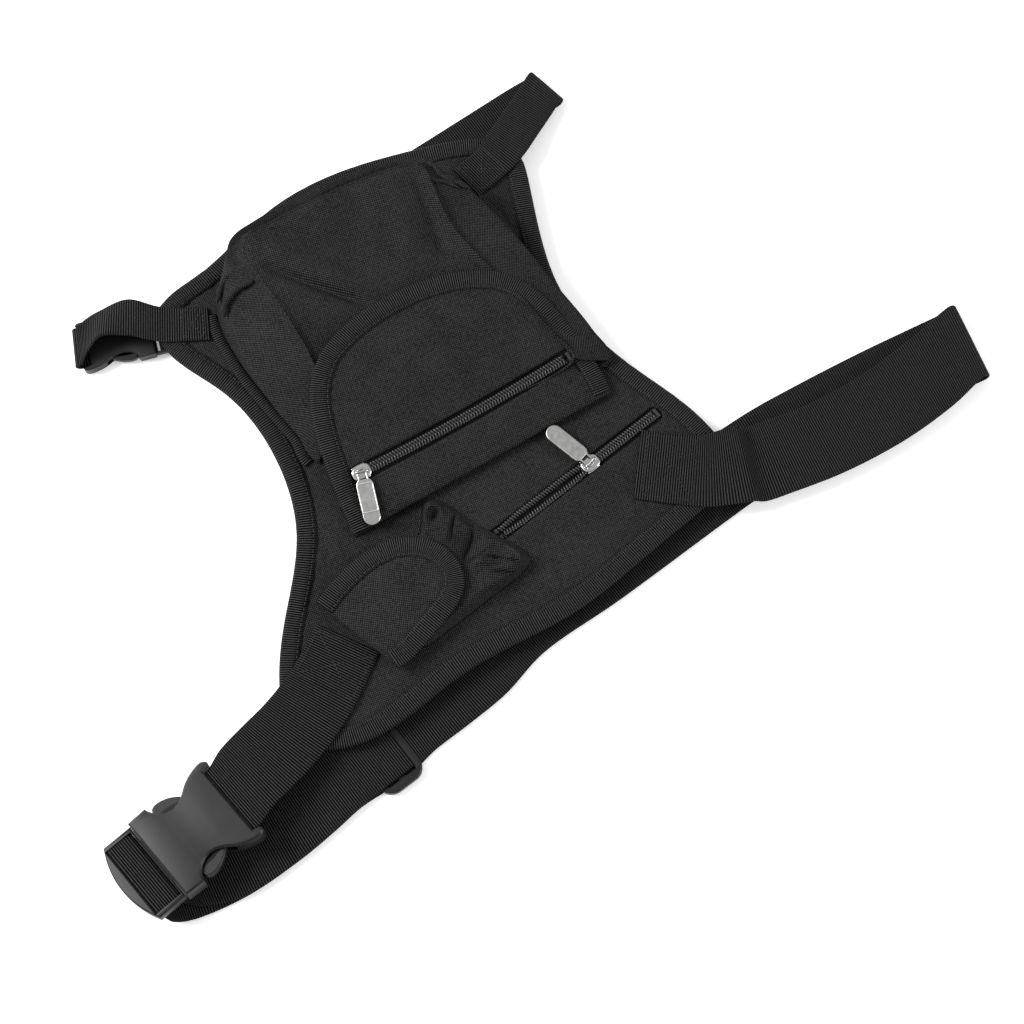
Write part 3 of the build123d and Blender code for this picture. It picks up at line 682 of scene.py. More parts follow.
def padded(thing, voxel, pressure, cap):
    """A soft closed pad: the mesh is remeshed, blown up a little as cloth, and capped."""
    remesh = thing.modifiers.new("remesh", "REMESH")
    remesh.mode, remesh.voxel_size = "VOXEL", voxel * MM
    bake_modifiers(thing)
    start = mesh_points(thing)
    cloth = thing.modifiers.new("puff", "CLOTH")
    cloth.settings.quality = 4
    cloth.settings.use_pressure = True
    cloth.settings.uniform_pressure_force = pressure
    cloth.settings.effector_weights.gravity = 0
    cloth.point_cache.frame_end = 20
    for number in range(1, 21):
        bpy.context.scene.frame_set(number)
    bake_modifiers(thing)
    bpy.context.scene.frame_set(1)
    moved = mesh_points(thing) - start
    size = np.linalg.norm(moved, axis=1, keepdims=True)
    moved *= np.minimum(1, cap * MM / np.maximum(size, 1e-9))
    thing.data.vertices.foreach_set("co", (start + moved).astype(np.float32).ravel())


def mesh_points(thing):
    points = np.zeros(len(thing.data.vertices) * 3, np.float32)
    thing.data.vertices.foreach_get("co", points)
    return points.reshape(-1, 3).astype(float)


def bake_modifiers(thing):
    """Replaces a mesh with what its modifiers make of it."""
    graph = bpy.context.evaluated_depsgraph_get()
    made = bpy.data.meshes.new_from_object(thing.evaluated_get(graph))
    thing.modifiers.clear()
    old = thing.data
    thing.data = made
    bpy.data.meshes.remove(old)


pad_edge = smooth_path(node_outline("back_pad", ground, -2.5), 4.0, closed=True)[:-1]
pad = stack("back_cushion", pad_edge, [(2.0, 0.9), (0.0, 2.0), (0.0, 4.4), (2.0, 5.3)], ground, MESH, None)
padded(pad, 5.0, 1.2, 1.6)
pad.data.vertices.foreach_set("co", np.clip(mesh_points(pad), [-1, -1, 0.0], [1, 1, 6.2 * MM])
                              .astype(np.float32).ravel())
pad.modifiers.new("smooth", "SUBSURF").levels = 1
pad.modifiers["smooth"].render_levels = 1
pad.data.polygons.foreach_set("use_smooth", [True] * len(pad.data.polygons))
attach(pad, "root")
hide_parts("back_pad")

foam = sheet("panel_padding", panel_edge + inward(panel_edge) * 2.5,
             lambda points: np.c_[points, np.full(len(points), 9.6)], FOAM, "root", spacing=6.0,
             holes=[panel_zip.at(*slit(PANEL_ZIP_SPAN[0] - 8, PANEL_ZIP_SPAN[1] + 8, 13, 13).T)[:, :2]],
             thickness=2.4)
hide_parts("panel_foam")

# ---------------------------------------------------------------- zips
COIL_PITCH = 1.95
COIL_REACH = 1.55        # half the width of one row's loops
COIL_WIRE = 0.5


def zip_row(name, plane, span, side, gap, bow, body):
    """One row of coil: a flattened helix that leans towards its partner, so the two make a herringbone."""
    turns = int((span[1] - span[0]) / COIL_PITCH)
    t = np.linspace(0, turns, turns * 10 + 1)
    phase = 0.0 if side > 0 else 0.5
    x = span[0] + (t + phase * 0.9) * COIL_PITCH
    swing = 2 * pi * t
    middle = COIL_REACH - 0.2 + gap(x)
    y = side * (middle + COIL_REACH * np.cos(swing)) + bow(x)
    z = 2.55 + 0.55 * np.sin(swing) - 0.9
    path = plane.at(x, y, z)
    travel = unit(np.gradient(path, axis=0))
    up = unit(np.cross(travel, plane.u))
    return sweep(name, path, np.cross(up, travel), up, round_profile(COIL_WIRE, 6), COIL, body)


def zip_tape(name, plane, span, side, gap, bow, body):
    """One half of the woven tape, with a raised cord along the coil."""
    x = np.linspace(span[0] - 6, span[1] + 6, int((span[1] - span[0]) / 3))
    inner = 0.35 + gap(x)
    centre = plane.at(x, side * (inner + 6.0) + bow(x), 0.3)
    shape = np.array([(-6.0, 0.3), (-4.0, 0.42), (-2.0, 0.3), (6.0, 0.3), (6.0, -0.3), (-6.0, -0.3)])
    count = len(x)
    sides = np.broadcast_to(plane.v * side, (count, 3))
    return sweep(name, centre, sides, np.broadcast_to(plane.w, (count, 3)), shape, ZIP_TAPE, body)


def zip_chain(name, plane, span, gap, bow, body):
    for side, label in ((1, "far"), (-1, "near")):
        row = zip_row(f"{name}_coil_{label}", plane, span, side, gap, bow, body)
        tape = zip_tape(f"{name}_tape_{label}", plane, span, side, gap, bow, body)
        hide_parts(f"{name}_coils")
        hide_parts(f"{name}_tapes")


def rectangle(left, right, low, high):
    return np.array([(left, low), (right, low), (right, high), (left, high)])


def rounded(outline, radius):
    """A polygon with its corners rounded, as many points."""
    result = []
    for i, corner in enumerate(outline):
        before, after = outline[i - 1], outline[(i + 1) % len(outline)]
        a = corner + unit(before - corner) * min(radius, np.linalg.norm(before - corner) * 0.49)
        b = corner + unit(after - corner) * min(radius, np.linalg.norm(after - corner) * 0.49)
        for t in np.linspace(0, 1, 5):
            result.append((1 - t) ** 2 * a + 2 * t * (1 - t) * corner + t ** 2 * b)
    return anticlockwise(evenly(np.vstack([result, result[:1]]), 0.45)[:-1])


def plate_levels(low, high, soft):
    """Levels that round a plate's rims."""
    return [(soft, low), (soft * 0.3, low + soft * 0.3), (0, low + soft),
            (0, high - soft), (soft * 0.3, high - soft * 0.3), (soft, high)]


def zip_slider(name, plane, swing, node, body):
    """Slider body, flanges and the bail that holds the pull, joined as one piece."""
    shield = rounded(np.array([(6.2, -3.0), (6.2, 3.0), (3.0, 4.9), (-3.5, 4.4), (-6.2, 2.4),
                               (-6.2, -2.4), (-3.5, -4.4), (3.0, -4.9)]), 1.6)
    crown = [(0.7, 2.5), (0.1, 2.7), (0, 3.0), (0.15, 3.4), (0.7, 3.7), (1.6, 3.85)]
    top = stack(f"{name}_top", shield, crown, plane, METAL, None)
    base = stack(f"{name}_base", shield, plate_levels(-0.9, -0.2, 0.25), plane, METAL, None)
    parts = [top, base]
    for side in (1, -1):
        x = np.linspace(-4.8, 4.2, 14)
        rim = plane.at(x, side * (4.35 + 0.3 * np.sin((x + 4.8) / 9 * pi)), 2.2)
        parts.append(tube(f"{name}_flange_{side}", rim, 0.5, METAL, None, across=plane.w))
    post = rounded(rectangle(1.4, 4.6, -0.5, 0.5), 0.3)
    parts.append(stack(f"{name}_post", post, plate_levels(-0.6, 3.0, 0.1), plane, METAL, None))
    turned = plane.turned(swing)
    arch = smooth_path([(-4.3, 0, 3.2), (-4.2, 0, 4.6), (-3.2, 0, 5.5), (0, 0, 5.75), (3.2, 0, 5.5),
                        (4.2, 0, 4.6), (4.3, 0, 3.2)], 0.4)
    parts.append(tube(f"{name}_bail", turned.at(*arch.T), 0.62, METAL, None, sides=10, across=turned.v))
    for side in (1, -1):
        foot = rounded(rectangle(-1.1, 1.1, -1.3, 1.3), 0.6)
        parts.append(stack(f"{name}_foot_{side}", foot, plate_levels(3.2, 4.4, 0.3),
                           turned.turned(0, (side * 4.2, 0, 0)), METAL, None))
    join(name, parts, body, node)


def join(name, things, body, *nodes):
    """One mesh object from several, riding on a body and standing for some CAD nodes."""
    for thing in bpy.context.scene.objects:
        thing.select_set(thing in things)
    bpy.context.view_layer.objects.active = things[0]
    bpy.ops.object.join()
    things[0].name = name
    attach(things[0], body)
    if nodes:
        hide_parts(*nodes)


def plane_ring(plane, outline, height):
    """A closed line round an outline, in the row's frame."""
    ring = np.vstack([outline, outline[:1]])
    return plane.at(ring[:, 0], ring[:, 1], height)


def zip_pull(name, plane, swing, droop, node, body, material, recessed):
    """A ring under the bail and a tab with a round end."""
    axis = plane.turned(swing, (0, 0, ZIP_PULL_AXIS))
    lie = radians(droop)
    v = cos(lie) * axis.v + sin(lie) * axis.w
    axis.v, axis.w = v, np.cross(axis.u, v)
    ring = smooth_path([(-2.7, -6.4, 0), (-2.7, -3.6, -0.2), (-2.6, -0.4, -1.1), (-1.6, 1.4, -1.3),
                        (1.6, 1.4, -1.3), (2.6, -0.4, -1.1), (2.7, -3.6, -0.2), (2.7, -6.4, 0)], 0.35)
    wire = tube(f"{name}_ring", axis.at(*ring.T), 0.72, material, None, sides=10, across=axis.w)
    turn = np.linspace(pi, 2 * pi, 25)
    end = np.stack([5.4 * np.cos(turn), -28.6 + 5.4 * np.sin(turn)], -1)
    shoulders = np.array([(5.4, -10.0), (5.2, -7.2), (3.5, -5.0), (-3.5, -5.0), (-5.2, -7.2), (-5.4, -10.0)])
    outline = np.vstack([end, shoulders])
    outline = anticlockwise(evenly(np.vstack([outline, outline[:1]]), 0.6)[:-1])
    levels = [(0.8, -0.65), (0.2, -0.6), (0, -0.3), (0, 0.3), (0.2, 0.6), (0.75, 0.68)]
    tab = stack(f"{name}_tab", outline, levels, axis, material, None)
    parts = [wire, tab]
    if recessed:
        frame_out = rounded(rectangle(-4.9, 4.9, -25.6, -7.6), 1.2)
        floor_levels = [(0.1, 0.6), (0.1, 0.76)]
        parts.append(stack(f"{name}_recess", frame_out, floor_levels, axis, SATIN, None))
        edge = plane_ring(axis, frame_out, 0.72)
        parts.append(tube(f"{name}_rim", edge, 0.5, BRIGHT, None, across=axis.w))
    join(name, parts, body, node)


def zip_stops(name, plane, span, gap, node, body):
    """Crimped stops at the chain's ends."""
    parts = []
    for x, y, width in ((span[0] - 2.2, 2.0 + gap(span[0]), 2.6), (span[0] - 2.2, -2.0 - gap(span[0]), 2.6),
                        (span[1] + 2.2, 0.0, 6.0)):
        outline = rounded(rectangle(-1.1, 1.1, -width / 2, width / 2), 0.5)
        parts.append(stack(f"{name}_{len(parts)}", outline, plate_levels(0.5, 2.2, 0.4),
                           plane.turned(0, (x, y, 0)), COIL, None))
    join(name, parts, body, node)


PANEL_TAPE_LEVEL, FLAP_TAPE_LEVEL = 10.0, 1.9
panel_zip_level = panel_zip.turned(0, (0, 0, PANEL_TAPE_LEVEL))


def panel_gap(x):
    """Half the distance between the rows: open behind the slider, meshed in front of it."""
    x = np.asarray(x, float)
    return 1.7 * np.clip(-x / 16, 0, 1) ** 0.8 * np.clip((x + 78) / 22, 0.2, 1)


def straight(x):
    return 0 * np.asarray(x, float)


zip_chain("panel_zip", panel_zip_level, PANEL_ZIP_SPAN, panel_gap, straight, "root")
zip_stops("panel_stops", panel_zip_level, PANEL_ZIP_SPAN, panel_gap, "panel_zip_stops", "root")
zip_slider("panel_slider_body", panel_zip_level, 192.0, "panel_zip_slider", "panel_slider")
zip_pull("panel_pull_tab", panel_zip_level, 192.0, -4.5, "panel_zip_pull", "panel_pull", SATIN, False)

# ---------------------------------------------------------------- main flap
flap = Plane(joint_place("main_flap_lift"), joint_heading("main_flap_lift"), FLAP_TILT)
flap_edge = node_outline("flap_lining", flap, 1.0)
flap_ends = flap_edge[flap_edge[:, 1] < 3]
FLAP_HALF = float(np.abs(flap_ends[:, 0]).max())


def curved_edge(edge, right, left, step):
    """A flap's curved edge, from its right end round to its left end."""
    upper = edge[edge[:, 1] > 2]
    upper = upper[np.argsort(np.arctan2(upper[:, 1] + 40, upper[:, 0]))]
    points = np.vstack([(right, 0.5), upper[1:-1:3], (left, 0.5)])
    return smooth_path(np.c_[points, points[:, 0] * 0], step)[:, :2]


def normals_inward(curve):
    """Unit normals of an open curve, on its left."""
    travel = np.gradient(curve, axis=0)
    return unit(np.stack([-travel[:, 1], travel[:, 0]], -1))


def draped(plane, drape, level):
    """A call that puts flat points on a draped surface, level above it."""
    def place(points, height=0.0):
        return plane.at(points[:, 0], points[:, 1], drape(points) + level + height)
    return place


flap_arc = curved_edge(flap_edge, FLAP_HALF, -FLAP_HALF, 2.0)
flap_outline = anticlockwise(np.vstack([flap_arc, (-FLAP_HALF, 0.2), (FLAP_HALF, 0.2)]))
slider_at = flap.local(joint_place("flap_pull_flip"))
flap_zip = flap.turned(0, (slider_at[0], slider_at[1], FLAP_TAPE_LEVEL))
FLAP_ZIP_SPAN = (0.0, 148.0)


def flap_bow(x):
    """The chain sags a little between its ends."""
    return -1.6 * np.sin(np.clip(np.asarray(x, float) / 151, 0, 1) * pi)


def flap_drape(points):
    """How far the flap's cloth sits from its flat plane."""
    u, v = points.T
    side = np.clip((np.abs(u) - 62) / 32, 0, 1) ** 2
    drop = -3.6 * side * np.clip(1.15 - v / 110, 0, 1)
    band = 0.9 * np.exp(-((v - 13) / 9) ** 2) * (1 - side)
    hinge = -0.8 * np.exp(-(v / 4) ** 2)
    over_zip = 0.5 * np.exp(-((v - 38.5 - flap_bow(u + 70)) / 3.0) ** 2) * (np.abs(u - 3) < 80)
    soft = 0.55 * ripple(points, 24.0, 21.0) + 0.3 * ripple(points, 9.0, 31.0)
    belly = 1.6 * np.exp(-((u - 5) / 55) ** 2 - ((v - 78) / 30) ** 2)
    return drop + band + hinge + over_zip + soft + belly


flap_slit = slit(-80, 83, 5.2, 5.4, 1.6) + [0, slider_at[1]]
flap_cloth = flap_outline + inward(flap_outline) * FLAP_INSET
flap_cover = sheet("flap_cover", flap_cloth, draped(flap, flap_drape, FLAP_FACE), OXFORD, "main_flap",
                   spacing=2.4, holes=[flap_slit])
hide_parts("flap_face")


def flap_inner_place(points):
    """The inner cloth hangs clear of the slider's path."""
    u, v = points.T
    room = 1.5 * np.exp(-((v - slider_at[1]) / 8.0) ** 2) * np.clip((86 - np.abs(u)) / 8, 0, 1)
    return flap.at(u, v, flap_drape(points) - room)


flap_inner = sheet("flap_inner_cloth", flap_cloth, flap_inner_place, LINING, "main_flap",
                   spacing=3.0, offset=1.0)
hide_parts("flap_lining")
zip_chain("flap_zip", flap_zip, FLAP_ZIP_SPAN, straight, flap_bow, "main_flap")
zip_stops("flap_stops", flap_zip, FLAP_ZIP_SPAN, straight, "flap_zip_stops", "main_flap")
zip_slider("flap_slider_body", flap_zip, -17.0, "flap_zip_slider", "flap_slider")
zip_pull("flap_pull_tab", flap_zip, -17.0, 3.0, "flap_zip_pull", "flap_pull", METAL, True)


def flap_binding(name, curve, plane, drape, top, body, node, seed):
    """Ribbed tape folded round a flap's curved edge, with its row of stitches."""
    normals = normals_inward(curve)
    tape = edge_tape(f"{name}_tape", curve, normals, draped(plane, drape, 0.0),
                     tape_profile(BINDING_WIDTH, -0.6, top), GROSGRAIN, body, puckers=0.3, step_seed=seed)
    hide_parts(node)
    sewn = curve + normals * (BINDING_WIDTH - 1.5)
    stitches(f"{name}_stitches", draped(plane, drape, top)(sewn), plane.w, THREAD, body)


flap_binding("flap_edge", curved_edge(flap_edge, FLAP_HALF, -FLAP_HALF, 0.45), flap, flap_drape, 4.5,
             "main_flap", "flap_binding", 2.0)

# The hinge edge is cloth turned under, and the hem below it joins it to the panel.
hinge_line = np.stack([np.linspace(-FLAP_HALF, FLAP_HALF, 95), np.full(95, 0.0)], -1)
edge_tape("flap_hinge_fold", hinge_line, np.broadcast_to([0.0, 1.0], hinge_line.shape),
          draped(flap, flap_drape, 0.0), tape_profile(5.0, 0.0, 3.8, 0.7, 1.6), OXFORD, "main_flap",
          puckers=0.2, step_seed=4.0)
hem_x = np.linspace(-90, 90, 60)
flap_ground = Plane(flap.origin * [1, 1, 0], joint_heading("main_flap_lift"))
hem_centre = flap_ground.at(hem_x, 7.5, SEWN_ON + 1.1)
hem_shape = np.array([(-2.6, -0.9), (-2.9, 0), (-2.4, 0.85), (0, 1.05), (2.4, 0.85), (2.9, 0), (2.6, -0.9)])
hem = sweep("flap_hem_roll", hem_centre, np.broadcast_to(flap_ground.v, hem_centre.shape),
            np.broadcast_to(flap_ground.w, hem_centre.shape), hem_shape, OXFORD, "root")
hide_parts("flap_hem")
for side, label in ((1, "far"), (-1, "near")):
    x = np.linspace(-77, 80, 90)
    line = np.stack([x, slider_at[1] + side * 6.7 + flap_bow(x + 70)], -1)
    stitches(f"flap_zip_stitches_{label}", draped(flap, flap_drape, FLAP_FACE + 0.02)(line), flap.w, THREAD,
             "main_flap", width=FINE_THREAD)
panel_line = slit(PANEL_ZIP_SPAN[0] - 7, PANEL_ZIP_SPAN[1] + 3.5, 7.2, 6.8)
panel_line = panel_zip.at(*np.vstack([panel_line, panel_line[:1]]).T)[:, :2]
stitches("panel_zip_stitches", panel_place(panel_line) + [0, 0, 0.05], (0, 0, 1), THREAD, "root",
         width=FINE_THREAD)


def pile_patch(name, node, plane, level, body):
    """A hook or loop patch whose face is level above a flap's plane."""
    patch = rounded(node_outline(node, plane, 0.0), 2.0)
    thing = stack(name, patch, plate_levels(level - 0.9, level, 0.3), plane, PILE, body)
    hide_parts(node)


pile_patch("flap_hook_patch", "flap_hook_tape", flap, -0.2, "main_flap")
pile_patch("pocket_loop_patch", "pocket_loop_tape", flap, -1.3, "root")


# ---------------------------------------------------------------- pocket and pouch bags
def smooth_ring(table, step):
    """smooth_path for a closed table whose last column keeps counting across its end."""
    lead = table[-2:-1] - [0, 0, 0, table[-1, 3]]
    follow = table[1:2] + [0, 0, 0, table[-1, 3]]
    rows = smooth_path(np.vstack([lead, table, follow]), step)
    return rows[(rows[:, 3] >= 0) & (rows[:, 3] <= table[-1, 3])]


def ring_points(corners, marks):
    """Points on the smooth closed curve through (u, v, height) corners, at places counted in corners."""
    corners = np.asarray(corners, float)
    table = np.c_[corners, np.arange(len(corners))]
    table = np.vstack([table, np.r_[corners[0], len(corners)]])
    ring = smooth_ring(table, 0.6)
    return np.stack([np.interp(marks, ring[:, 3], ring[:, k]) for k in range(3)], -1)


def bag(name, plane, rings, shares, middle, roof, relief, body, step=1.6, cap=44):
    """A cloth shell: a wall that passes through rings of corners, then a front that closes it.

    Each ring lists matching (u, v, height) corners, anticlockwise from the mouth's right end to its
    left end, and the wall is open between the last corner and the first. shares are the places of
    the wall's rows, counted in rings.
    """
    corner_count = len(rings[0])
    length = np.sum(np.linalg.norm(np.diff(np.array(rings[0], float), axis=0), axis=1))
    marks = np.linspace(0, corner_count, int(length / step), endpoint=False)
    levels = [ring_points(ring, marks) for ring in rings]
    rows, cloth_map = [], []
    for share in shares:
        k = min(int(share), len(levels) - 2)
        rows.append(levels[k] + (levels[k + 1] - levels[k]) * (share - k))
    top = rows[-1]
    around = np.cumsum(np.linalg.norm(np.diff(levels[1], axis=0, prepend=levels[1][:1]), axis=1))
    away = np.zeros(len(marks))
    for upper, lower in zip(rows[::-1], [top] + rows[::-1]):
        away = away + np.linalg.norm(upper - lower, axis=1)
        cloth_map.insert(0, np.c_[around, away])
    for k in range(1, cap):
        t = (k / cap) ** 1.25
        flat = top[:, :2] * (1 - t) + np.array(middle) * t
        settle = np.clip(t / 0.06, 0, 1)
        height = top[:, 2] * (1 - settle) + roof(flat) * settle
        rows.append(np.c_[flat, height])
        cloth_map.append(flat)
    rows.append(np.array([[*middle, roof(np.array([middle], float))[0]]]))
    cloth_map.append(rows[-1][:, :2])
    points, count = np.vstack(rows), len(marks)
    points[:, 2] += relief(points)
    faces = []
    for face in grid_faces(len(rows) - 1, count, True):
        row, column = divmod(int(face[0]), count)
        if row >= len(shares) or marks[column] < corner_count - 1:
            faces.append(list(face))
    last = (len(rows) - 2) * count
    faces += [[last + i, last + (i + 1) % count, len(points) - 1] for i in range(count)]
    placed = plane.at(points[:, 0], points[:, 1], points[:, 2])
    shell = piece(name, placed, faces, OXFORD, body, np.vstack(cloth_map), closed=False)
    thicken(shell, CLOTH, -1.0)
    return shell, levels


POCKET_BASE = [(92, 16), (91, 40), (90, 78), (90, 110), (88, 150), (78, 178), (64, 190), (25, 199),
               (-15, 202), (-50, 200), (-72, 196), (-90, 184), (-97, 165), (-98, 133), (-94, 100),
               (-90, 75), (-88, 52)]
POCKET_FOLD = [(103, 16, 16.5), (103.5, 40, 20), (98, 78, 25), (94, 110, 28.5), (85.5, 150, 32),
               (76, 173, 35), (67, 189, 39), (28, 201, 41), (-14, 205.5, 41.5), (-46, 205, 41.5),
               (-65, 202.5, 40), (-76, 191, 33), (-87, 168, 27), (-95.5, 133, 23), (-95, 100, 18.5),
               (-91, 75, 15.5), (-88, 54, 14)]
POCKET_CREASE = [(85, 24, 24), (81, 50, 27.5), (76, 76, 31), (68.5, 104, 34), (61.5, 142, 37),
                 (64.5, 169, 38.3), (65, 186, 38.8), (26, 197, 38.7), (-16, 200, 39.2), (-42, 200.4, 39.4),
                 (-58, 200.6, 39.6), (-67, 191, 37.6), (-65.5, 172, 36.8), (-63.6, 140, 35.2),
                 (-64.2, 106, 31.4), (-68, 84, 27), (-74, 58, 22)]
FLAP_SLOPE = np.tan(radians(FLAP_TILT))
POCKET_EDGE = [(u * 0.962 + 1, 100 + (v - 100) * 0.976, z + (3.4 if v > 130 else 2.3))
               for u, v, z in POCKET_CREASE]


def pocket_roof(points):
    """The pocket's front follows the flap, then levels off towards its far end."""
    u, v = points[:, 0], points[:, 1]
    under_flap = flap.origin[2] - UNDER_FLAP + FLAP_SLOPE * v
    bend = flap.origin[2] - UNDER_FLAP + FLAP_SLOPE * 128
    beyond = bend + (43 - bend) * np.clip((v - 128) / 66, 0, 1) ** 0.8
    return np.minimum(under_flap, beyond)


def pocket_relief(points):
    """Sags, creases and raised corners of the pocket's cloth."""
    flat = points[:, :2]
    u, v = flat.T
    front = np.clip((66 - np.abs(u)) / 12, 0, 1)
    clear = 1 / (1 + np.exp(-(v - 124) / 4))
    folds = 1.1 * ripple(flat, 30.0, 41.0) + 0.6 * ripple(flat, 12.0, 51.0)
    sag = -3.2 * np.exp(-((u - 2) / 36) ** 2 - ((v - 160) / 24) ** 2)
    sag -= 2.2 * np.exp(-((u - 48) / 9) ** 2 - ((v - 148) / 26) ** 2)
    lines = crease(flat, (-58, 178), (-2, 110), 2.8, 4.4) - crease(flat, (-48, 186), (0, 122), 6, 2.8)
    lines += crease(flat, (60, 190), (46, 120), 4.5, 2.4) - crease(flat, (40, 196), (30, 130), 8, 1.6)
    lines += crease(flat, (-52, 198), (-18, 178), 4, 1.6) - crease(flat, (-30, 201), (-8, 170), 5, 1.2)
    lines += crease(flat, (14, 200), (20, 165), 5, 1.3) + crease(flat, (-62, 128), (-30, 118), 5, 1.2)
    band = 1 - front
    rucks = 0.9 * ripple(flat * [1.0, 0.55], 6.5, 47.0) * np.clip((v - 120) / 40, 0.25, 1)
    corner = 1.6 * ripple(flat, 6.0, 57.0) * np.exp(-((np.abs(u) - 76) / 16) ** 2 - ((v - 180) / 17) ** 2)
    return front * (clear * (lines + sag) + (0.2 + 0.8 * clear) * folds) + band * (rucks + corner)


WALL_SHARES = [0, 0.25, 0.5, 0.75, 0.92, 1.0, 1.1, 1.3, 1.5, 1.7, 1.88, 1.96, 2.0, 2.12, 2.4, 2.7, 3.0]
pocket_foot = [(*corner, FOOT) for corner in POCKET_BASE]
pocket, _ = bag("pocket_bag", flap_ground, [pocket_foot, POCKET_FOLD, POCKET_CREASE, POCKET_EDGE],
                WALL_SHARES, (0, 125), pocket_roof, pocket_relief, "root")
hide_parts("pocket_front", "pocket_gusset")
pocket_seam = ring_points(POCKET_EDGE, np.linspace(5.9, 15.2, 400))
pocket_seam[:, 2] += pocket_relief(pocket_seam) + 0.1
stitches("pocket_seam_stitches", flap_ground.at(*pocket_seam.T), (0, 0, 1), THREAD, "root", width=FINE_THREAD)

# Where each gusset turns a corner its cloth is tucked into a rolled fold.
TUCKS = [
    ([(-92.5, 164, 24.5), (-90, 168.5, 28), (-84, 172, 31.5), (-77, 173.6, 34), (-66.5, 171, 38)], 1.7),
    ([(-92, 176, 22), (-84, 183, 27), (-76, 186, 33)], 1.4),
    ([(66, 187, 40), (71, 181, 38.6), (71.5, 174, 37.6), (77, 167, 36), (84, 157, 34)], 1.3),
    ([(62.5, 180, 40.5), (66, 172, 39), (72, 168.5, 37), (78, 160, 35.6)], 1.0),
]
tuck_rolls = []
for number, (line, radius) in enumerate(TUCKS):
    row = smooth_path(line, 1.0)
    ends = np.clip(np.minimum(np.arange(len(row)), np.arange(len(row))[::-1]) / 6 + 0.25, 0, 1)
    wave = 1 + 0.25 * ripple(np.c_[np.arange(len(row)) * 1.0, np.zeros(len(row))], 6.0, 5.0 * number)
    profile = round_profile(1.0, 10) * [1.35, 1.0] * (radius * ends * wave)[:, None, None]
    path = flap_ground.at(*row.T)
    travel = unit(np.gradient(path, axis=0))
    side = unit(np.cross(travel, (0, 0, 1)))
    up = np.cross(side, travel)
    tuck_rolls.append(sweep(f"pocket_tuck_{number}", path, side, up, profile, OXFORD, None))
join("pocket_tucks", tuck_rolls, "root")

POUCH_BASE = [(34, 20), (40, 37), (47.5, 72), (52.5, 96), (50, 106), (10, 102), (-18, 98.5), (-23, 93),
              (-13, 76), (-10, 50), (-12, 12)]
pouch = Plane(joint_place("pouch_flap_lift"), joint_heading("pouch_flap_lift"), POUCH_TILT)
pouch_ground = Plane(pouch.origin * [1, 1, 0], joint_heading("pouch_flap_lift"))
POUCH_SLOPE = np.tan(radians(POUCH_TILT))
POUCH_TOP = [(29, 19, 15.8), (37, 37, 17.6), (43.5, 70, 19), (49, 92, 19.5), (46, 101.5, 19.5),
             (10, 98.5, 16), (-14, 95.5, 20), (-19.5, 91, 20), (-10, 75, 20), (-7, 50, 19), (-10, 13, 15.6)]


def pouch_roof(points):
    """The pouch's front follows its flap, then sinks towards its far end."""
    v = points[:, 1]
    under_flap = pouch.origin[2] - UNDER_FLAP + POUCH_SLOPE * v
    at_flap_end = pouch.origin[2] - UNDER_FLAP + POUCH_SLOPE * 72
    return np.minimum(under_flap, at_flap_end - 3.5 * np.clip((v - 74) / 28, 0, 1))


def pouch_relief(points):
    """Puckered corners, sharp creases that run to them and a deep dent between them."""
    flat = points[:, :2]
    u, v = flat.T
    clear = 1 / (1 + np.exp(-(v - 76) / 1.5))
    across, along = (u + 12) * 0.9 + (v - 88) * 0.35, (v - 88) * 0.75 - (u + 12) * 0.3
    away = np.hypot(across, along)
    curl = 0.5 + 0.5 * np.cos(np.arctan2(along, across) - 2.2)
    ear = 4.6 * curl * np.exp(-((away - 4.8) / 1.7) ** 2) - 3.0 * np.exp(-(away / 2.6) ** 2)
    right_ear = 4.0 * np.exp(-((u - 45) / 5) ** 2 - ((v - 95) / 6) ** 2)
    dent = -5.0 * np.exp(-((u - 18) / 5) ** 2 - ((v - 90) / 10) ** 2)
    swell = 4.0 * np.exp(-((u - 3) / 5) ** 2 - ((v - 82) / 9) ** 2)
    swell += 3.0 * np.exp(-((u - 30) / 4.5) ** 2 - ((v - 86) / 7) ** 2)
    lines = crease(flat, (50, 99), (27, 87), 1.1, 4.2) + crease(flat, (52, 92), (38, 83), 1.1, 3.2)
    lines += crease(flat, (-5, 101), (7, 80), 1.2, 3.4) + crease(flat, (10, 101), (22, 74), 1.3, 3.6)
    lines += crease(flat, (30, 101), (24, 78), 1.2, 2.6) - crease(flat, (44, 98), (26, 78), 1.8, 2.4)
    folds = 0.6 * ripple(flat, 9.0, 71.0)
    rim = np.clip((points[:, 2] - FOOT) / 6, 0, 1)
    return rim * clear * (ear + right_ear + dent + swell + lines + folds)


pouch_foot = [(*corner, FOOT) for corner in POUCH_BASE]
pouch_shell, pouch_levels = bag("pouch_bag", pouch_ground, [pouch_foot, POUCH_TOP], np.linspace(0, 1, 8),
                                (14, 60), pouch_roof, pouch_relief, "root", step=0.8, cap=64)
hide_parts("pouch_front", "pouch_gusset")

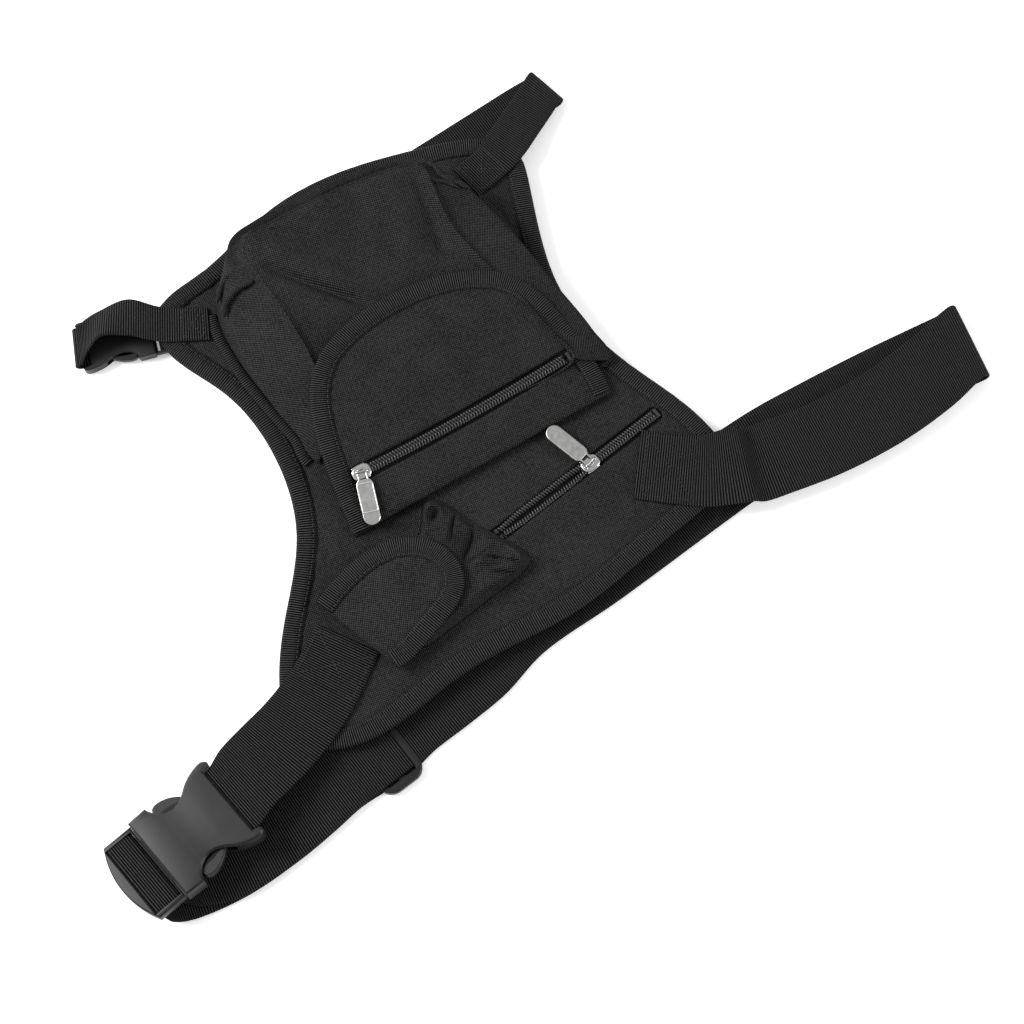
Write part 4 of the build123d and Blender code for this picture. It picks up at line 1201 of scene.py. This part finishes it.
# Ribbed tape along the foot of the pocket's two long walls, and stitches along the pouch's foot.
tape_rows = []
for name, first, last in (("right", 0.1, 4.6), ("left", 11.6, 15.8)):
    line = ring_points(pocket_foot, np.linspace(first, last, 300))[:, :2]
    travel = unit(np.gradient(line, axis=0))
    away = np.stack([travel[:, 1], -travel[:, 0]], -1)
    line = evenly(line + away * 3.6, 0.5)
    travel = unit(np.gradient(line, axis=0))
    side = travel[:, :1] * flap_ground.v - travel[:, 1:] * flap_ground.u
    centre = flap_ground.at(line[:, 0], line[:, 1], SEWN_ON + 0.5)
    shape = np.array([(-3.4, -0.3), (-3.2, 0.35), (0, 0.6), (3.2, 0.35), (3.4, -0.3)])
    tape_rows.append(sweep(f"pocket_foot_tape_{name}", centre, side,
                           np.broadcast_to(ground.w, centre.shape), shape, GROSGRAIN, None))
join("pocket_foot_tape", tape_rows, "root", "pocket_seam_tape")
foot = pouch_levels[0][:, :2]
foot = (foot - inward(foot) * 1.5)[foot[:, 1] > 20]
stitches("pouch_foot_stitches", pouch_ground.at(foot[:, 0], foot[:, 1], FOOT), (0, 0, 1), THREAD,
         "root", pitch=2.8, length=1.9, width=0.45)

# ---------------------------------------------------------------- pouch flap
lid_edge = node_outline("pouch_flap", pouch, 1.0)
lid_right = lid_edge[lid_edge[:, 1] < 3][:, 0].max()
lid_left = lid_edge[lid_edge[:, 1] < 3][:, 0].min()


def lid_drape(points):
    u, v = points.T
    corner = -1.6 * np.exp(-((u + 33) / 12) ** 2) - 0.6 * np.exp(-((u - 36) / 9) ** 2)
    puff = 1.3 * np.exp(-((u - 2) / 24) ** 2 - ((v - 38) / 24) ** 2)
    return corner * np.clip(v / 20, 0, 1) + puff + 0.5 * ripple(points, 14.0, 91.0)


lid_arc = curved_edge(lid_edge, lid_right, lid_left, 2.0)
lid_outline = anticlockwise(np.vstack([lid_arc, (lid_left, 0), (lid_right, 0)]))
lid = sheet("pouch_lid_cover", lid_outline + inward(lid_outline) * FLAP_INSET, draped(pouch, lid_drape, 1.5),
            OXFORD, "pouch_flap", spacing=2.0, thickness=1.4)
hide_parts("pouch_flap")
flap_binding("pouch_lid", curved_edge(lid_edge, lid_right, lid_left, 0.45), pouch, lid_drape, 2.3,
             "pouch_flap", "pouch_flap_binding", 6.0)
lid_hem_x = np.linspace(-18, 19, 20)
lid_hem_at = pouch_ground.at(lid_hem_x, 5.0, SEWN_ON + 1.9)
lid_hem = sweep("pouch_hem_roll", lid_hem_at, np.broadcast_to(pouch_ground.v, lid_hem_at.shape),
                np.broadcast_to(ground.w, lid_hem_at.shape), hem_shape * [0.7, 1.9], OXFORD, "root")
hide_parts("pouch_hem")
pile_patch("pouch_hook_patch", "pouch_hook_tape", pouch, -0.2, "pouch_flap")
pile_patch("pouch_loop_patch", "pouch_loop_tape", pouch, -1.3, "root")

# ---------------------------------------------------------------- belt
NEAR_SIDE = 104.0        # heading of the wide buckle's width, for webbing that runs towards it
STRAP_SIDE = 77.5        # and of the narrow buckle's
BUCKLE_ROLL = 10.0


def mouth_frame(near, far, heading, roll, setback):
    """A buckle's frame from its two prong hinges, which sit a little outside its mouth."""
    middle = (joint_place(near) + joint_place(far)) / 2
    plane = Plane(middle, heading)
    side = plane.v * cos(radians(roll)) + np.array([0, 0, sin(radians(roll))])
    plane.v, plane.w = side, np.cross(plane.u, side)
    plane.origin = plane.at(-setback, 0)
    return plane


WIDE_BUCKLE, NARROW_BUCKLE = (1.0, 1.0, 1.0), (0.79, 0.55, 0.66)
wide_buckle = mouth_frame("belt_prong_squeeze", "belt_prong_squeeze_far", 194.0, BUCKLE_ROLL, 6.0)
narrow_buckle = mouth_frame("strap_prong_squeeze", "strap_prong_squeeze_near", -12.5, 0.0,
                            6.0 * NARROW_BUCKLE[0])


def on_buckle(plane, x, z, size=WIDE_BUCKLE):
    return tuple(plane.at(x * size[0], 0, z * size[2]))


def on_wide(extra, *places):
    """Stations in the wide buckle's frame from (x, z) places, extra wider than the belt."""
    return [(*on_buckle(wide_buckle, x, z), NEAR_SIDE, -BUCKLE_ROLL, WIDE + extra) for x, z in places]


def on_narrow(extra, *places):
    """The same in the narrow buckle's frame, for the strap."""
    return [(*on_buckle(narrow_buckle, x, z, NARROW_BUCKLE), STRAP_SIDE, 0, NARROW + extra)
            for x, z in places]


def level(height, width, *places):
    """Stations on one level from (x, y, across heading) places."""
    return [(x, y, height, across, 0, width) for x, y, across in places]


def half_turn(x, y, height, radius, lean, across, width):
    """Stations round a fold whose outer side points along lean."""
    return [(x + radius * cos(radians(a)) * lean[0], y + radius * cos(radians(a)) * lean[1],
             height + radius * sin(radians(a)), across, 0, width) for a in HALF_TURN]


def patch_wrinkle(start, size, height):
    """Small cross folds in webbing, a given way along it."""
    def lift(along, across):
        bell = np.exp(-((along - start) / size) ** 2)
        return height * bell * np.sin(along / size * 2.6 + across * 0.05)
    return lift


stub = webbing("belt_stub_webbing", [
    (-108, -105.5, PATCH - 0.1, 128, 0, 43),
    (-112, -109, PATCH, 128, 0, 43),
    (-135, -127, PATCH + 0.1, 125, 0, 45),
    (-158, -140, PATCH + 0.7, 119, -1, 47),
    (-180, -149, PATCH + 1.2, 112, -4, 49),
    (-200, -157, 17, 106, -8, WIDE - 0.6),
    *on_wide(-0.6, (-56, 1.9), (-47.5, 1.9)),
], "root", lift=patch_wrinkle(42, 12, 0.5))
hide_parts("belt_stub")

LOOP_RADIUS = 4.2
belt = webbing("belt_webbing", [
    (102, -86.5, PATCH - 0.1, 56, 0, 46),
    (106, -89.5, PATCH, 56, 0, 46),
    (133, -107, PATCH + 0.1, 58, 0, 47),
    (143, -111.5, PATCH + 1.0, 64, 0, 49),
    (154, -115.5, PATCH + 4.2, 71, 0, WIDE),
    (161, -117.5, PATCH + 3.0, 75, 0, WIDE),
    (168, -119.2, 10.0, 78, 0, WIDE),
    (183, -121.3, 10.4, 84, 0, WIDE),
    (217, -124, 9.3, 89, 0, WIDE),
    (260, -122, 8.8, 91, 0, WIDE + 1),
    (300, -115, 9.2, 89, 0, WIDE + 2),
    *half_turn(328, -107.5, GROUND_LAYER + LOOP_RADIUS, LOOP_RADIUS, (1, -0.09), 85, WIDE + 2),
    *level(GROUND_LAYER, WIDE, (266, -106, 88), (222, -107, 90), (185, -109, 93), (150, -114, 98),
           (49, -132, 100), (-10, -141, 104), (-44, -154, 107), (-70, -160, 102), (-95, -165, 100)),
    (-108, -167.8, GROUND_LAYER, 101, 0, WIDE + 2.8),
    (-120.5, -170.4, GROUND_LAYER, 101, 0, WIDE + 3),
    (-133, -172.8, GROUND_LAYER, 101, 0, WIDE + 2.8),
    *level(GROUND_LAYER, WIDE, (-150, -176.3, 101), (-170, -182, 100), (-194, -188, 95), (-228, -193, 90)),
    (-258, -192, GROUND_LAYER + 0.2, 84, -1, WIDE),
    (-275, -188, 2.6, 92, -4, WIDE),
    (*on_buckle(wide_buckle, 18.2, -7.4), NEAR_SIDE, -8, WIDE),
    *on_wide(1.4, (20.5, -2.8)),
    *on_wide(1.8, (20.1, 0.2), (18.2, 1.0), (14.4, 0.9), (7.0, 0.9), (4.2, 0.2)),
    *on_wide(1.4, (2.6, -2.6)),
    (*on_buckle(wide_buckle, 4.6, -6.6), NEAR_SIDE, -7, WIDE),
    (*on_buckle(wide_buckle, 3.6, -9.8), 103, -2, WIDE),
    *level(SECOND_LAYER, WIDE, (-254, -187.5, 90), (-228, -193, 90), (-194, -188, 95), (-170, -182, 100),
           (-150, -176.3, 101), (-119, -170, 101), (-111, -168.3, 101)),
], None, step=0.9, lift=patch_wrinkle(58, 14, 0.5))
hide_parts("belt", "belt_adjuster")
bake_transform(belt)

# ---------------------------------------------------------------- narrow strap


def towards(heading):
    return cos(radians(heading)), sin(radians(heading))


front = webbing("strap_front_webbing", [
    (-96.5, 120.5, PATCH - 0.1, 69, 0, 22.5),
    (-110, 127, PATCH + 0.1, 67, 0, 23),
    (-121, 132, PATCH + 0.5, 66, 0, 23.5),
    (-127, 135.5, 15.4, 66, 0, 24),
    (-141, 146, 18, 66, -6, 26),
    (-158, 150.5, 17, 68, -28, NARROW - 1),
    (-169, 148.5, 13.4, 70, -14, NARROW - 1),
    *half_turn(-176.5, 144.8, 8.4, 3.0, towards(161.6), 71.6, NARROW - 1),
    *on_narrow(0, (-52, 1.8), (-47.6, 1.8)),
], None, step=0.9)
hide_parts("strap_patch", "strap_front")
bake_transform(front)

back = webbing("strap_back_webbing", [
    (93.5, 134.6, PATCH - 0.1, 105, 0, 25),
    (97, 135.5, PATCH, 105, 0, 25),
    (113, 140, PATCH + 0.1, 107, 0, 26),
    (129, 147.5, PATCH - 0.1, 115, 0, NARROW + 1),
    (145, 158, 10.4, 120, 0, NARROW + 1),
    (160, 168, 7.4, 117, 0, NARROW + 1),
    *half_turn(172, 176, 3.8, 2.6, towards(19), 109, NARROW + 2),
    (150, 173.5, GROUND_LAYER, 99, 0, NARROW + 1),
    *level(GROUND_LAYER, NARROW, (80, 164, 98), (0, 153, 98), (-50, 143.5, 98), (-86, 134.5, 93)),
    (*on_buckle(narrow_buckle, 24, -4.6, NARROW_BUCKLE), 79, 0, NARROW),
    *on_narrow(0, (19.6, -4.6)),
    *on_narrow(0.8, (19.8, -3.2), (19.5, -0.8), (17.8, 1.0)),
    *on_narrow(0, (14, 1.0), (7.8, 1.0), (5.4, 0.2), (4.6, -1.6)),
], "root", step=0.9)
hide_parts("strap_back")


def box_stitch(name, corners, lift):
    """A sewn square with a cross in it."""
    a, b, c, d = (np.array(corner, float) for corner in corners)
    lines = [np.array([a, b, c, d, a]), np.array([a, c]), np.array([b, d])]
    parts = [stitches(f"{name}_{i}", np.c_[line, np.full(len(line), lift)], (0, 0, 1), THREAD, None,
                      pitch=2.9, length=2.0, width=0.5) for i, line in enumerate(lines)]
    join(name, parts, "root")


def webbing_square(start, end, across, half):
    """Corners of a rectangle on webbing, from two points on its middle line."""
    side = np.array([cos(radians(across)), sin(radians(across))]) * half
    start, end = np.array(start, float), np.array(end, float)
    return start + side, end + side, end - side, start - side


box_stitch("stub_stitches", webbing_square((-110.5, -108.2), (-134, -126.5), 127, 19), PATCH + 0.95)
box_stitch("belt_stitches", webbing_square((105.5, -89.5), (132, -106.2), 57, 20), PATCH + 0.95)
box_stitch("front_stitches", webbing_square((-99.5, 121.8), (-112, 127.8), 68, 9.5), PATCH + 1.0)
box_stitch("back_stitches", webbing_square((96.5, 135.6), (117, 141.6), 106, 11), PATCH + 0.95)

# ---------------------------------------------------------------- buckles
def prong(name, plane, size, side, body):
    """One springy arm: a curved outer face with the latch's bulge, and a thin inner face."""
    outer = [(-0.8, 22.3), (-8, 23.4), (-14.6, 24.8), (-16.2, 27.8), (-20, 29.0), (-27, 27.4), (-33, 23.6),
             (-37, 19.4)]
    inner = [(-36.5, 17.8), (-33, 18.6), (-26, 21), (-16, 21.2), (-8, 20.6), (-0.8, 19.6)]
    runs = [smooth_path([(*point, 0) for point in run], 0.5)[:, :2] for run in (outer, inner)]
    outline = np.vstack(runs) * [size[0], side * size[1]]
    levels = [(inset * size[1], height * size[2]) for inset, height in plate_levels(-3.0, 3.0, 0.9)]
    arm = stack(name, anticlockwise(outline), levels, plane, PLASTIC, body)
    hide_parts(name.replace("_arm", ""))


prong("belt_prong_near_arm", wide_buckle, WIDE_BUCKLE, 1, "belt_prong_near")
prong("belt_prong_far_arm", wide_buckle, WIDE_BUCKLE, -1, "belt_prong_far")
prong("strap_prong_near_arm", narrow_buckle, NARROW_BUCKLE, -1, "strap_prong_near")
prong("strap_prong_far_arm", narrow_buckle, NARROW_BUCKLE, 1, "strap_prong_far")


def shoulder(name, plane, size, body):
    """The plug's solid root, which fills the socket's mouth."""
    outline = [(0.7, -28.3), (0.7, 28.3), (0.05, 28.3), (0.05, 25), (-3, 25), (-3, -25), (0.05, -25),
               (0.05, -28.3)]
    levels = [(0.0, -3.0 * size[2]), (0.0, 2.0 * size[2])]
    stack(name, anticlockwise(np.array(outline) * size[:2]), levels, plane, PLASTIC, body)


shoulder("belt_plug_shoulder", wide_buckle, WIDE_BUCKLE, "belt_plug")
shoulder("strap_plug_shoulder", narrow_buckle, NARROW_BUCKLE, "root")

# The buckles' frames and the tri-glide keep the shapes they were made with, and get softened rims.
for node in ("belt_socket", "belt_plug", "belt_triglide", "strap_socket", "strap_plug"):
    thing = frame["nodes"][node]
    thing.data.materials.clear()
    thing.data.materials.append(PLASTIC[0])
    weld = thing.modifiers.new("weld", "WELD")
    weld.merge_threshold = 0.00001
    rim = thing.modifiers.new("rim", "BEVEL")
    rim.width, rim.segments = 0.0006, 3
    rim.limit_method, rim.angle_limit = "ANGLE", radians(28)
    rim.harden_normals = False
    thing.data.polygons.foreach_set("use_smooth", [True] * len(thing.data.polygons))

# ---------------------------------------------------------------- floor, light and camera
CAMERA_ELEVATION, CAMERA_AZIMUTH = 72.0, -27.0
CAMERA_PLACE = (-0.1922, -0.4916, 1.4385)
FLOOR_REACH = 30.0


def area_light(name, place, aim, size, power):
    data = bpy.data.lights.new(name, "AREA")
    data.energy, data.size = power, size
    lamp = bpy.data.objects.new(name, data)
    bpy.context.scene.collection.objects.link(lamp)
    lamp.location = place
    lamp.rotation_euler = (Vector(aim) - Vector(place)).to_track_quat("-Z", "Y").to_euler()


def plain_floor():
    floor_mesh = bpy.data.meshes.new("floor")
    corners = [(x * FLOOR_REACH, y * FLOOR_REACH, 0) for x, y in ((-1, -1), (1, -1), (1, 1), (-1, 1))]
    floor_mesh.from_pydata(corners, [], [(0, 1, 2, 3)])
    floor = bpy.data.objects.new("floor", floor_mesh)
    bpy.context.scene.collection.objects.link(floor)
    floor.location.z = -0.0004
    pale = Nodes("floor_paint", (0.93, 0.93, 0.93), 0.9, specular=0.1)
    pale.shader.inputs["Emission Color"].default_value = (1, 1, 1, 1)
    pale.shader.inputs["Emission Strength"].default_value = 0.3
    floor_mesh.materials.append(pale.material)


plain_floor()
area_light("key", (-1.4, 1.0, 1.4), (0, 0, 0), 1.0, 72)
area_light("fill", (1.6, -1.3, 0.8), (0, 0, 0), 1.0, 24)
world = bpy.data.worlds.new("studio")
bpy.context.scene.world = world
world.use_nodes = True
sky = world.node_tree.nodes["Background"]
sky.inputs["Color"].default_value = (1, 1, 1, 1)
sky.inputs["Strength"].default_value = 0.62
bpy.context.scene.view_settings.view_transform = "Standard"

elevation, azimuth = radians(CAMERA_ELEVATION), radians(CAMERA_AZIMUTH)
back_way = Vector((sin(azimuth) * cos(elevation), -cos(azimuth) * cos(elevation), sin(elevation)))
camera_data = bpy.data.cameras.new("camera")
camera_data.lens, camera_data.sensor_width = 85.0, 36.0
camera = bpy.data.objects.new("camera", camera_data)
bpy.context.scene.collection.objects.link(camera)
camera.location = CAMERA_PLACE
camera.rotation_mode = "QUATERNION"
camera.rotation_quaternion = (-back_way).to_track_quat("-Z", "Y")
bpy.context.scene.camera = camera
